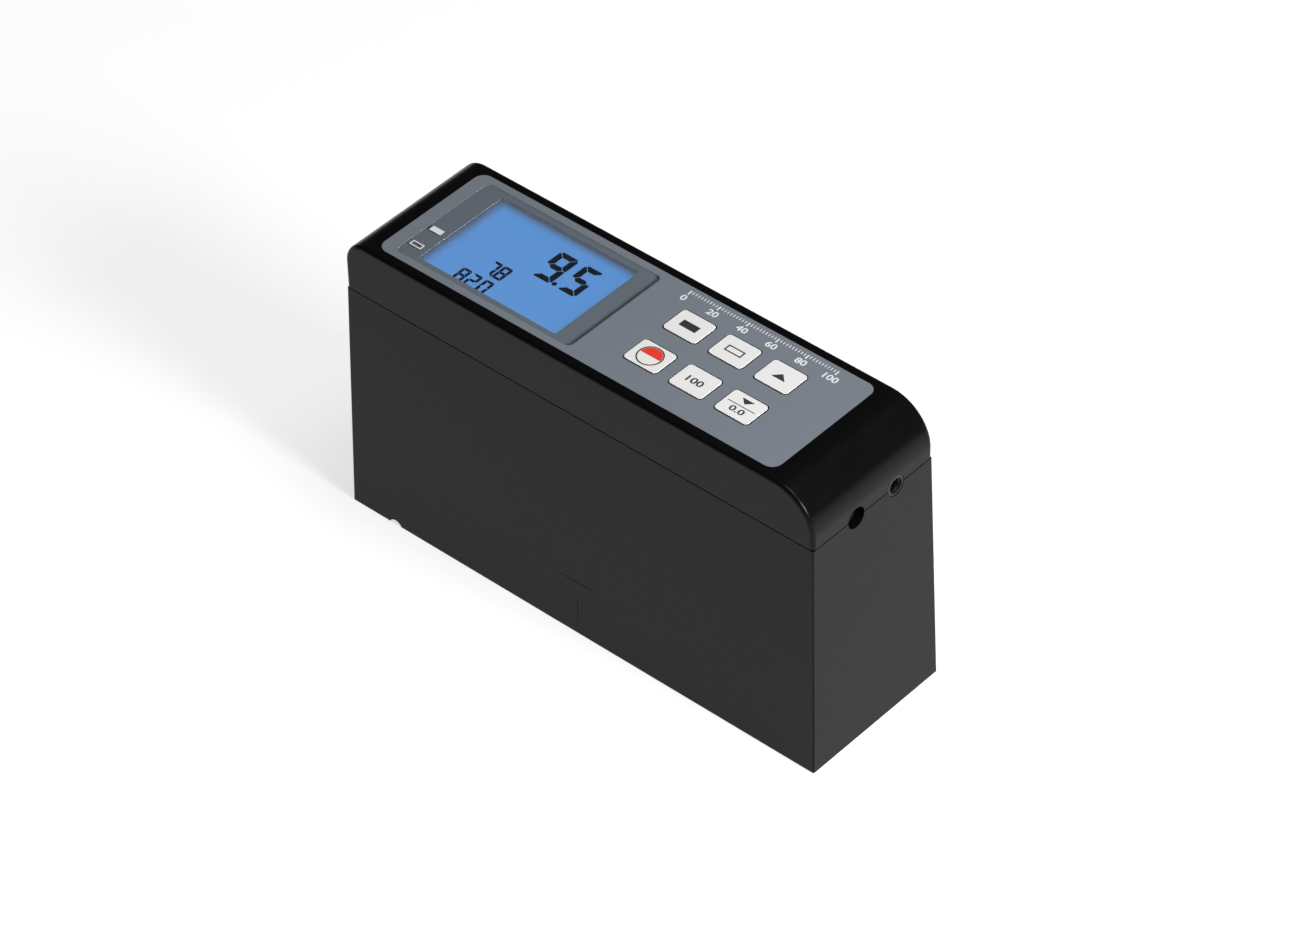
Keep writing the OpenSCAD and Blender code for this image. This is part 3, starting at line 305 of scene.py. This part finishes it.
def makeClear(name, s):
    # clear plastic that lets the lamps through to what lies behind
    mat, tree, shader = newMaterial(name)
    marks = useGroup(tree, handling, objectPlace(tree), s["pitch"])
    join(tree, spread(tree, marks.outputs["Smudge"], *s["rough"]), shader.inputs["Roughness"])
    setInputs(shader, {"Base Color": (*s["colour"], 1), "Transmission Weight": 1,
                       "IOR": s["ior"], "Specular IOR Level": s["shine"]})
    clear = addNode(tree, "ShaderNodeBsdfTransparent")
    setInputs(clear, {"Color": (*s["through"], 1)})
    shadow = addNode(tree, "ShaderNodeLightPath").outputs["Is Shadow Ray"]
    join(tree, mixShaders(tree, shadow, shader.outputs[0], clear.outputs[0]), surfaceOf(tree))
    return mat


# painted shade: along the far left and top edges the glow darkens to the shade colour, standing in
# for the mask's soft shade on the glass; the edge places are in metres
lcd = {"blue": (0.112, 0.301, 0.658), "deep": (0.098, 0.278, 0.622),
       "shade": (0.100, 0.118, 0.148), "base": (0.012, 0.03, 0.07), "glow": 0.885,
       "left": -0.0523, "top": 0.0148, "fade": 0.0034, "patches": 34, "patchDetail": 1,
       "rough": (0.28, 0.4), "pitch": 2400, "depth": 1 * micron}


def makeDisplayBlue(name, s):
    # backlit glass with the light guide's faint unevenness, and a painted shade along its far
    # edges
    mat, tree, shader = newMaterial(name)
    place = objectPlace(tree)
    grain = useGroup(tree, mouldGrain, place, s["pitch"])
    uneven = addNode(tree, "ShaderNodeTexNoise")
    setInputs(uneven, {"Scale": s["patches"], "Detail": s["patchDetail"]})
    join(tree, place, uneven.inputs["Vector"])
    axes = addNode(tree, "ShaderNodeSeparateXYZ")
    join(tree, place, axes.inputs[0])
    # painted shade: the glow fades to the shade colour within fade of the far left and top edges
    fromLeft = fadeIn(tree, axes.outputs["X"], s["left"], s["left"] + s["fade"])
    fromTop = fadeIn(tree, axes.outputs["Y"], s["top"], s["top"] - s["fade"])
    outOfPaintedShade = mathNode(tree, "MULTIPLY", fromLeft, fromTop)
    lit = tint(tree, uneven.outputs[0], s["deep"], s["blue"])
    join(tree, tint(tree, outOfPaintedShade, s["shade"], lit), shader.inputs["Emission Color"])
    setInputs(shader, {"Emission Strength": s["glow"], "Base Color": (*s["base"], 1)})
    join(tree, spread(tree, grain.outputs["Mottle"], *s["rough"]), shader.inputs["Roughness"])
    bumpFrom(tree, grain.outputs["Height"], s["depth"], shader)
    return mat


board = {"resist": (0.010, 0.115, 0.040), "resistLight": (0.013, 0.135, 0.048),
         "track": (0.030, 0.215, 0.085), "tracks": 210, "trackWidth": 0.05, "run": 1.4, "row": 0.4,
         "rough": (0.25, 0.38), "pitch": 2000, "depth": 4 * micron}


def makeBoardGreen(name, s):
    # solder resist with tracks showing through
    mat, tree, shader = newMaterial(name)
    place = objectPlace(tree)
    grain = useGroup(tree, mouldGrain, place, s["pitch"])
    tracks = addNode(tree, "ShaderNodeTexBrick")
    setInputs(tracks, {"Color1": (*s["resist"], 1), "Color2": (*s["resistLight"], 1),
                       "Mortar": (*s["track"], 1), "Scale": s["tracks"],
                       "Mortar Size": s["trackWidth"], "Brick Width": s["run"],
                       "Row Height": s["row"]})
    join(tree, place, tracks.inputs["Vector"])
    join(tree, tracks.outputs["Color"], shader.inputs["Base Color"])
    join(tree, spread(tree, grain.outputs["Mottle"], *s["rough"]), shader.inputs["Roughness"])
    bumpFrom(tree, grain.outputs["Height"], s["depth"], shader)
    return mat


materials = {name: makeFinish(name, s) for name, s in {**finishes, **inks}.items()}
materials["clear"] = makeClear("clear", clearSettings)
materials["display_blue"] = makeDisplayBlue("display_blue", lcd)
materials["board_green"] = makeBoardGreen("board_green", board)
slotOf = {part["node"]: part["material_slot"] for part in frame["record"]["subparts"]}
for nodeName, obj in nodes.items():
    obj.data.materials.clear()
    obj.data.materials.append(materials[slotOf[nodeName]])
print("materials made,", len(materials))


# mesh helpers, with edges sharper than these degrees left crisp

meshSettings = {"weld": 0.0001 * mm, "copyWeld": 0.0002 * mm, "flatWeight": 80}
crisp = {"copy": 24, "key": 40, "print": 30}


def finishMesh(name, bm, body, material, sharp, replaced=()):
    bmesh.ops.remove_doubles(bm, verts=bm.verts, dist=meshSettings["weld"])
    bmesh.ops.recalc_face_normals(bm, faces=bm.faces)
    markEdges(bm, sharp)
    return finishPiece(name, bm, body, material, replaced)


def markEdges(bm, sharp):
    # smooth curves and crisp corners
    for face in bm.faces:
        face.smooth = True
    for edge in bm.edges:
        edge.smooth = edge.calc_face_angle(pi) < radians(sharp)


def finishPiece(name, bm, body, material, replaced=()):
    mesh = bpy.data.meshes.new(name)
    bm.to_mesh(mesh)
    bm.free()
    obj = bpy.data.objects.new(name, mesh)
    addToScene(obj)
    weigh = obj.modifiers.new("flatFaces", "WEIGHTED_NORMAL")
    weigh.keep_sharp = True
    weigh.weight = meshSettings["flatWeight"]
    bakeModifiers(obj)
    obj.data.materials.clear()
    obj.data.materials.append(material)
    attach(obj, body)
    if replaced:
        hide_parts(*replaced)
    return obj


def bakeModifiers(obj):
    bpy.context.view_layer.update()
    graph = bpy.context.evaluated_depsgraph_get()
    mesh = bpy.data.meshes.new_from_object(obj.evaluated_get(graph),
                                           preserve_all_data_layers=True, depsgraph=graph)
    obj.modifiers.clear()
    obj.data = mesh


def roundedRing(bm, middle, size, radius, z, perCorner=8):
    ring = []
    for corner, (sx, sy) in enumerate(((1, 1), (-1, 1), (-1, -1), (1, -1))):
        for step in range(perCorner + 1):
            angle = pi / 2 * (corner + step / perCorner)
            x = middle[0] + sx * (size[0] / 2 - radius) + radius * cos(angle)
            y = middle[1] + sy * (size[1] / 2 - radius) + radius * sin(angle)
            ring.append(bm.verts.new((x, y, z)))
    return ring


def loft(bm, rings):
    for lower, upper in zip(rings, rings[1:]):
        for i in range(len(lower)):
            j = (i + 1) % len(lower)
            bm.faces.new((lower[i], lower[j], upper[j], upper[i]))
    bm.faces.new(rings[0][::-1])
    bm.faces.new(rings[-1])


def slab(bm, outline, low, high):
    # closed plate with any flat outline
    bottom, top = ([bm.verts.new((x, y, z)) for x, y in outline] for z in (low, high))
    loft(bm, [bottom, top])


def ringSlab(bm, outer, inner, low, high):
    # plate with a hole, both outlines with as many points
    outLow, inLow, outHigh, inHigh = (
        [bm.verts.new((x, y, z)) for x, y in line] for z in (low, high) for line in (outer, inner))
    for i in range(len(outer)):
        j = (i + 1) % len(outer)
        bm.faces.new((outLow[j], outLow[i], inLow[i], inLow[j]))
        bm.faces.new((outHigh[i], outHigh[j], inHigh[j], inHigh[i]))
        bm.faces.new((outLow[i], outLow[j], outHigh[j], outHigh[i]))
        bm.faces.new((inLow[j], inLow[i], inHigh[i], inHigh[j]))


def circlePoints(x, y, radius, count=64):
    angles = [2 * pi * i / count for i in range(count)]
    return [(x + radius * cos(angle), y + radius * sin(angle)) for angle in angles]


def rectPoints(x, y, l, w):
    return [(x + sx * l / 2, y + sy * w / 2) for sx, sy in ((-1, -1), (1, -1), (1, 1), (-1, 1))]


# case halves and sockets, smooth across their rounded edges

walls = {"sameWay": radians(0.3), "leastArea": 0.00015}
smoothPieces = {"lower_case": "caseLower", "top_cover": "caseCover", "data_jack": "jackBody",
                "jack_sleeve": "jackSleeve", "power_inlet": "inletBody", "inlet_pin": "inletPin"}


def flattenWalls(bm, s):
    # a large flat wall keeps one plain normal, also beside a rounded corner
    left = set(bm.faces)
    while left:
        wall = [left.pop()]
        for face in wall:
            beside = {other for edge in face.edges for other in edge.link_faces} & left
            same = [other for other in beside
                    if other.normal.angle(face.normal, pi) < s["sameWay"]]
            wall.extend(same)
            left.difference_update(same)
        if sum(face.calc_area() for face in wall) > s["leastArea"]:
            for edge in {edge for face in wall for edge in face.edges}:
                edge.smooth = False


def smoothCopy(nodeName, pieceName, body):
    bm = bmesh.new()
    bm.from_mesh(nodes[nodeName].data)
    bmesh.ops.remove_doubles(bm, verts=bm.verts, dist=meshSettings["copyWeld"])
    markEdges(bm, crisp["copy"])
    flattenWalls(bm, walls)
    slotName = slotOf[nodeName]
    finishPiece(pieceName, bm, body, materials[slotName], (nodeName,))


for nodeName, pieceName in smoothPieces.items():
    smoothCopy(nodeName, pieceName, "case")
print("case done")


# keys, each a dark rubber key with a white face

keySettings = {"face": 0.16 * mm, "rounding": 0.12 * mm, "corner": 1.0 * mm, "gap": 1.1 * mm,
               "flange": 0.9 * mm, "stem": 2.1 * mm, "cover": 2.0 * mm, "ceiling": 0.1 * mm,
               "sliver": 0.01 * mm, "steps": 5}
keyNames = ("power", "calibrate", "down", "black", "white", "up")
keyTops = {}


def makeKeyPiece(name, middle, levels, body, slotName, replaced=()):
    bm = bmesh.new()
    loft(bm, [roundedRing(bm, middle, *level) for level in levels])
    finishMesh(name, bm, body, materials[slotName], crisp["key"], replaced)


def makeKey(word, s):
    body = "key_" + word
    label = "key%s" % word.capitalize()
    low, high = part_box(body)
    middle = (low + high) / 2
    foot = (high.x - low.x, high.y - low.y)
    cap = (foot[0] - 2 * s["gap"], foot[1] - 2 * s["gap"])
    stemSide = 2 * s["stem"] + s["sliver"]  # keeps the corners of the round stem apart
    stem = (stemSide, stemSide)
    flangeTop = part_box("top_cover")[1].z - s["cover"] - s["ceiling"]
    flangeLow = flangeTop - s["flange"]
    faceLow = high.z - s["face"]
    levels = [(stem, s["stem"], low.z), (stem, s["stem"], flangeLow),
              (foot, s["corner"], flangeLow), (foot, s["corner"], flangeTop),
              (cap, s["corner"], flangeTop), (cap, s["corner"], faceLow)]
    makeKeyPiece(label + "Body", middle, levels, body, "part_black", (body,))
    levels = [(cap, s["corner"], faceLow)]
    for step in range(s["steps"] + 1):
        angle = pi / 2 * step / s["steps"]
        inset = s["rounding"] * (1 - cos(angle))
        size = (cap[0] - 2 * inset, cap[1] - 2 * inset)
        levels.append((size, s["corner"] - inset, high.z - s["rounding"] * (1 - sin(angle))))
    makeKeyPiece(label + "Face", middle, levels, body, "key_white")
    keyTops[word] = (middle.x, middle.y, high.z)


for word in keyNames:
    makeKey(word, keySettings)
print("keys done")


# signs, as thin plates let into what they are printed on

powerSign = {"radius": 3.05 * mm, "line": 0.34 * mm, "inner": 2.8 * mm, "steps": 32}
barSign = {"size": (4.7 * mm, 2.1 * mm), "line": 0.36 * mm}
upSign = {"size": (3.85 * mm, 1.9 * mm)}
downSign = {"size": (3.4 * mm, 1.6 * mm), "up": 1.8 * mm, "rule": (7.6 * mm, 0.22 * mm),
            "ruleUp": 0.1 * mm}


def drawPowerRing(bm, x, y, low, high, s):
    outer = circlePoints(x, y, s["radius"] + s["line"] / 2)
    inner = circlePoints(x, y, s["radius"] - s["line"] / 2)
    ringSlab(bm, outer, inner, low, high)


def drawPowerHalf(bm, x, y, low, high, s):
    angles = [pi * i / s["steps"] for i in range(s["steps"] + 1)]
    r = s["inner"]
    slab(bm, [(x + r * cos(angle), y + r * sin(angle)) for angle in angles], low, high)


def drawBar(bm, x, y, low, high, s):
    slab(bm, rectPoints(x, y, *s["size"]), low, high)


def drawOpenBar(bm, x, y, low, high, s):
    l, w = s["size"]
    both = 2 * s["line"]
    ringSlab(bm, rectPoints(x, y, l, w), rectPoints(x, y, l - both, w - both), low, high)


def drawUp(bm, x, y, low, high, s):
    l, h = s["size"]
    slab(bm, [(x - l / 2, y - h / 2), (x + l / 2, y - h / 2), (x, y + h / 2)], low, high)


def drawDown(bm, x, y, low, high, s):
    l, h = s["size"]
    top = y + s["up"] + h / 2
    slab(bm, [(x - l / 2, top), (x, top - h), (x + l / 2, top)], low, high)
    slab(bm, rectPoints(x, y + s["ruleUp"], *s["rule"]), low, high)


def makeSign(label, draw, s, place, depth, body, ink):
    x, y, z = place
    bm = bmesh.new()
    draw(bm, x, y, z - depth["sunk"], z + depth["proud"], s)
    finishMesh(label, bm, body, materials[ink], crisp["print"])


keyDepth = {"sunk": 0.02 * mm, "proud": 0.02 * mm}
keySigns = (("power", "powerRing", "darkPrint", drawPowerRing, powerSign),
            ("power", "powerHalf", "redPrint", drawPowerHalf, powerSign),
            ("black", "blackBar", "darkPrint", drawBar, barSign),
            ("white", "whiteBar", "darkPrint", drawOpenBar, barSign),
            ("up", "upArrow", "darkPrint", drawUp, upSign),
            ("down", "downArrow", "darkPrint", drawDown, downSign))
for word, label, ink, draw, s in keySigns:
    makeSign(label, draw, s, keyTops[word], keyDepth, "key_" + word, ink)


# numbers, made from a plain text curve

numeral = {"extrude": 0.05, "bold": 0.02, "curveSteps": 4, "thick": 0.04 * mm}
keyNumbers = (
    {"word": "calibrate", "label": "calibrateNumber", "text": "100", "up": -0.1 * mm,
     "height": 2.0 * mm, "wide": 1.25},
    {"word": "down", "label": "zeroNumber", "text": "0.0", "up": -1.45 * mm,
     "height": 1.8 * mm, "wide": 1.35},
)


def makeNumber(label, text, place, height, wide, body, ink):
    curve = bpy.data.curves.new(label, "FONT")
    curve.body = text
    curve.size = 1
    curve.align_x = "CENTER"
    curve.align_y = "CENTER"
    curve.extrude = numeral["extrude"]
    curve.offset = numeral["bold"]
    curve.resolution_u = numeral["curveSteps"]
    holder = bpy.data.objects.new(label + "Curve", curve)
    addToScene(holder)
    bpy.context.view_layer.update()
    graph = bpy.context.evaluated_depsgraph_get()
    mesh = bpy.data.meshes.new_from_object(holder.evaluated_get(graph))
    bpy.data.objects.remove(holder)
    xs, ys = [v.co.x for v in mesh.vertices], [v.co.y for v in mesh.vertices]
    grow = height / (max(ys) - min(ys))
    midX, midY = (max(xs) + min(xs)) / 2, (max(ys) + min(ys)) / 2
    half = numeral["thick"] / 2
    bm = bmesh.new()
    bm.from_mesh(mesh)
    for v in bm.verts:
        v.co = Vector((place[0] + (v.co.x - midX) * grow * wide,
                       place[1] + (v.co.y - midY) * grow,
                       place[2] + (half if v.co.z > 0 else -half)))
    finishMesh(label, bm, body, materials[ink], crisp["print"])


def makeKeyNumber(s):
    x, y, z = keyTops[s["word"]]
    makeNumber(s["label"], s["text"], (x, y + s["up"], z), s["height"], s["wide"],
               "key_" + s["word"], "darkPrint")


for s in keyNumbers:
    makeKeyNumber(s)
print("legends done")


# white scale printed along the film, with ticks made by a node tree

scale = {"left": 3.2 * mm, "right": 45.4 * mm, "top": 16.2 * mm, "steps": 50, "majorEvery": 10,
         "minor": (0.208 * mm, 0.9 * mm, 0.04 * mm), "major": (0.364 * mm, 1.45 * mm, 0.044 * mm),
         "numberY": 13.35 * mm, "numberHeight": 1.9 * mm, "numberWide": 1.15, "numberStep": 20}


def makeTickTree():
    tree = bpy.data.node_groups.new("scaleTicks", "GeometryNodeTree")
    for label, kind in (("Count", "Int"), ("Start", "Vector"), ("Step", "Vector"),
                        ("Tick Size", "Vector"), ("Ink", "Material")):
        tree.interface.new_socket(name=label, in_out="INPUT", socket_type="NodeSocket" + kind)
    tree.interface.new_socket(name="Geometry", in_out="OUTPUT", socket_type="NodeSocketGeometry")
    start, end = tree.nodes.new("NodeGroupInput"), tree.nodes.new("NodeGroupOutput")
    line = tree.nodes.new("GeometryNodeMeshLine")
    bar = tree.nodes.new("GeometryNodeMeshCube")
    spots = tree.nodes.new("GeometryNodeInstanceOnPoints")
    real = tree.nodes.new("GeometryNodeRealizeInstances")
    ink = tree.nodes.new("GeometryNodeSetMaterial")
    join(tree, start.outputs["Count"], line.inputs["Count"])
    join(tree, start.outputs["Start"], line.inputs["Start Location"])
    join(tree, start.outputs["Step"], line.inputs["Offset"])
    join(tree, start.outputs["Tick Size"], bar.inputs["Size"])
    join(tree, line.outputs["Mesh"], spots.inputs["Points"])
    join(tree, bar.outputs["Mesh"], spots.inputs["Instance"])
    join(tree, spots.outputs["Instances"], real.inputs["Geometry"])
    join(tree, real.outputs["Geometry"], ink.inputs["Geometry"])
    join(tree, start.outputs["Ink"], ink.inputs["Material"])
    join(tree, ink.outputs["Geometry"], end.inputs["Geometry"])
    return tree


def makeTicks(tree, label, values):
    obj = bpy.data.objects.new(label, bpy.data.meshes.new(label))
    addToScene(obj)
    ticks = obj.modifiers.new("ticks", "NODES")
    ticks.node_group = tree
    for item in tree.interface.items_tree:
        if item.in_out == "INPUT":
            ticks[item.identifier] = values[item.name]
    bakeModifiers(obj)
    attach(obj, "case")


def makeScale(s):
    tree = makeTickTree()
    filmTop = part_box("overlay_panel")[1].z
    step = (s["right"] - s["left"]) / s["steps"]
    majorStep = s["majorEvery"] * step
    majors = s["steps"] // s["majorEvery"] + 1
    for label, count, pitch, size in (("scaleMinor", s["steps"] + 1, step, s["minor"]),
                                      ("scaleMajor", majors, majorStep, s["major"])):
        start = (s["left"], s["top"] - size[1] / 2, filmTop)
        makeTicks(tree, label, {"Count": count, "Start": start, "Step": (pitch, 0, 0),
                                "Tick Size": size, "Ink": materials["whitePrint"]})
    for index in range(majors):
        place = (s["left"] + majorStep * index, s["numberY"], filmTop)
        makeNumber("scaleNumber%d" % index, str(index * s["numberStep"]), place,
                   s["numberHeight"], s["numberWide"], "case", "whitePrint")


makeScale(scale)


# row signs beside the display, on the window

rowSign = {"x": -54.35 * mm, "size": (3.4 * mm, 1.6 * mm), "line": 0.32 * mm}
rowDepth = {"sunk": 0.01 * mm, "proud": 0.02 * mm}
rows = (("rowFilled", -4.6 * mm, drawBar), ("rowOpen", -11.1 * mm, drawOpenBar))
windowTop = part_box("display_window")[1].z
for label, rowY, draw in rows:
    makeSign(label, draw, rowSign, (rowSign["x"], rowY, windowTop), rowDepth, "case",
             "whitePrint")
print("prints done")


# display numbers built from seven strokes, sizes in millimetres

strokes = {"0": "abcdef", "2": "abged", "5": "afgcd", "7": "abc", "8": "abcdefg", "9": "abcdfg"}
small = {"size": (2.6, 4.8), "line": 0.74}
digits = [
    {"word": "9", "x": -29.4, "y": -0.8, "size": (5.5, 10.2), "line": 1.6},
    {"word": "5", "x": -21.9, "y": -0.8, "size": (5.3, 10.2), "line": 1.6},
    {"word": "7", "x": -38.6, "y": -7.3, **small},
    {"word": "8", "x": -35.6, "y": -7.3, **small},
    {"word": "8", "x": -42.3, "y": -13.4, **small},
    {"word": "2", "x": -39.1, "y": -13.4, **small},
    {"word": "0", "x": -35.6, "y": -13.4, **small},
]
points = [{"x": -23.1, "y": -0.1, "r": 0.65}, {"x": -35.8, "y": -7.0, "r": 0.3},
          {"x": -36.1, "y": -13.1, "r": 0.3}]
segment = {"split": 0.07, "cut": 0.5, "rise": 0.03, "sunk": 0.02, "pointSteps": 16}


def strokePoints(s, name):
    # strokes end in slanted cuts with a thin gap between them, as on a real glass
    w, h = s["size"]
    t = s["line"]
    mid, gap, cut = h / 2, segment["split"] * t, segment["cut"] * t
    near, far = (cut - gap) / 2, (cut + gap) / 2
    if name in "ad":
        outline = [(cut, h), (far, h - near), (t + gap, h - t),
                   (w - t - gap, h - t), (w - far, h - near), (w - cut, h)]
    elif name == "g":
        outline = [(t / 2 + gap, mid), (t + gap, mid - t / 2), (w - t - gap, mid - t / 2),
                   (w - t / 2 - gap, mid), (w - t - gap, mid + t / 2), (t + gap, mid + t / 2)]
    else:
        outline = [(0, mid + gap), (t / 2, mid + gap), (t, mid + t / 2 + gap),
                   (t, h - t - gap), (near, h - far), (0, h - cut)]
    if name in "dec":
        outline = [(px, h - py) for px, py in outline[::-1]]
    if name in "bc":
        outline = [(w - px, py) for px, py in outline[::-1]]
    return [((s["x"] + px) * mm, (s["y"] + py) * mm) for px, py in outline]


def makeDigits():
    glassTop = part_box("lcd_glass")[1].z
    low, high = glassTop - segment["sunk"] * mm, glassTop + segment["rise"] * mm
    bm = bmesh.new()
    for s in digits:
        for name in strokes[s["word"]]:
            slab(bm, strokePoints(s, name), low, high)
    for s in points:
        outline = circlePoints(s["x"] * mm, s["y"] * mm, s["r"] * mm, segment["pointSteps"])
        slab(bm, outline, low, high)
    finishMesh("displayFigures", bm, "case", materials["segmentInk"],
               crisp["print"])


makeDigits()
print("display done")


# floor and light

stage = {"size": 8.0, "drop": 0.0002, "colour": (0.44, 0.44, 0.442), "mottle": 0.985,
         "pitch": 900, "rough": 0.9, "shine": 0.1, "lift": 0.70}


def makePaper(s):
    mat, tree, shader = newMaterial("floorPaper")
    grain = useGroup(tree, mouldGrain, objectPlace(tree), s["pitch"])
    darker = tuple(v * s["mottle"] for v in s["colour"])
    colour = tint(tree, grain.outputs["Mottle"], darker, s["colour"])
    join(tree, colour, shader.inputs["Base Color"])
    setInputs(shader, {"Roughness": s["rough"], "Specular IOR Level": s["shine"]})
    # white to the camera and in reflections, without more light on the object
    path = addNode(tree, "ShaderNodeLightPath")
    seen = mathNode(tree, "MAXIMUM", path.outputs["Is Camera Ray"], path.outputs["Is Glossy Ray"])
    seen = mathNode(tree, "MAXIMUM", seen, path.outputs["Is Transmission Ray"])
    glow = addNode(tree, "ShaderNodeEmission")
    join(tree, mathNode(tree, "MULTIPLY", seen, s["lift"]), glow.inputs["Strength"])
    both = addNode(tree, "ShaderNodeAddShader")
    join(tree, shader.outputs[0], both.inputs[0])
    join(tree, glow.outputs[0], both.inputs[1])
    # open from below, so that the base can be looked at
    below = addNode(tree, "ShaderNodeNewGeometry").outputs["Backfacing"]
    clear = addNode(tree, "ShaderNodeBsdfTransparent")
    sides = mixShaders(tree, below, both.outputs[0], clear.outputs[0])
    join(tree, sides, surfaceOf(tree))
    return mat


def makeFloor(s):
    corners = [(x, y, -s["drop"]) for x, y in rectPoints(0, 0, s["size"], s["size"])]
    mesh = bpy.data.meshes.new("floor")
    mesh.from_pydata(corners, [], [(0, 1, 2, 3)])
    mesh.materials.append(makePaper(s))
    floor = bpy.data.objects.new("floor", mesh)
    addToScene(floor)


lamps = [
    {"name": "overhead", "way": (0.24, 0.12, 0.96), "far": 3.2, "size": 1.8, "watts": 36},
    {"name": "sideSoftbox", "way": (0.81, -0.06, 0.58), "far": 0.7, "size": 0.2, "watts": 4.9},
]
worldLight = {"colour": (0.5, 0.505, 0.515), "strength": 0.14}


def makeLamp(s):
    data = bpy.data.lights.new(s["name"], "AREA")
    data.shape = "DISK"
    data.size = s["size"]
    data.energy = s["watts"]
    lamp = bpy.data.objects.new(s["name"], data)
    way = Vector(s["way"]).normalized()
    turn = way.to_track_quat("Z", "Y").to_matrix().to_4x4()
    lamp.matrix_world = Matrix.Translation(way * s["far"]) @ turn
    addToScene(lamp)


def makeWorld(s):
    world = bpy.data.worlds.new("studio")
    bpy.context.scene.world = world
    world.use_nodes = True
    setInputs(world.node_tree.nodes["Background"],
              {"Color": (*s["colour"], 1), "Strength": s["strength"]})


makeFloor(stage)
for s in lamps:
    makeLamp(s)
makeWorld(worldLight)
print("stage done")
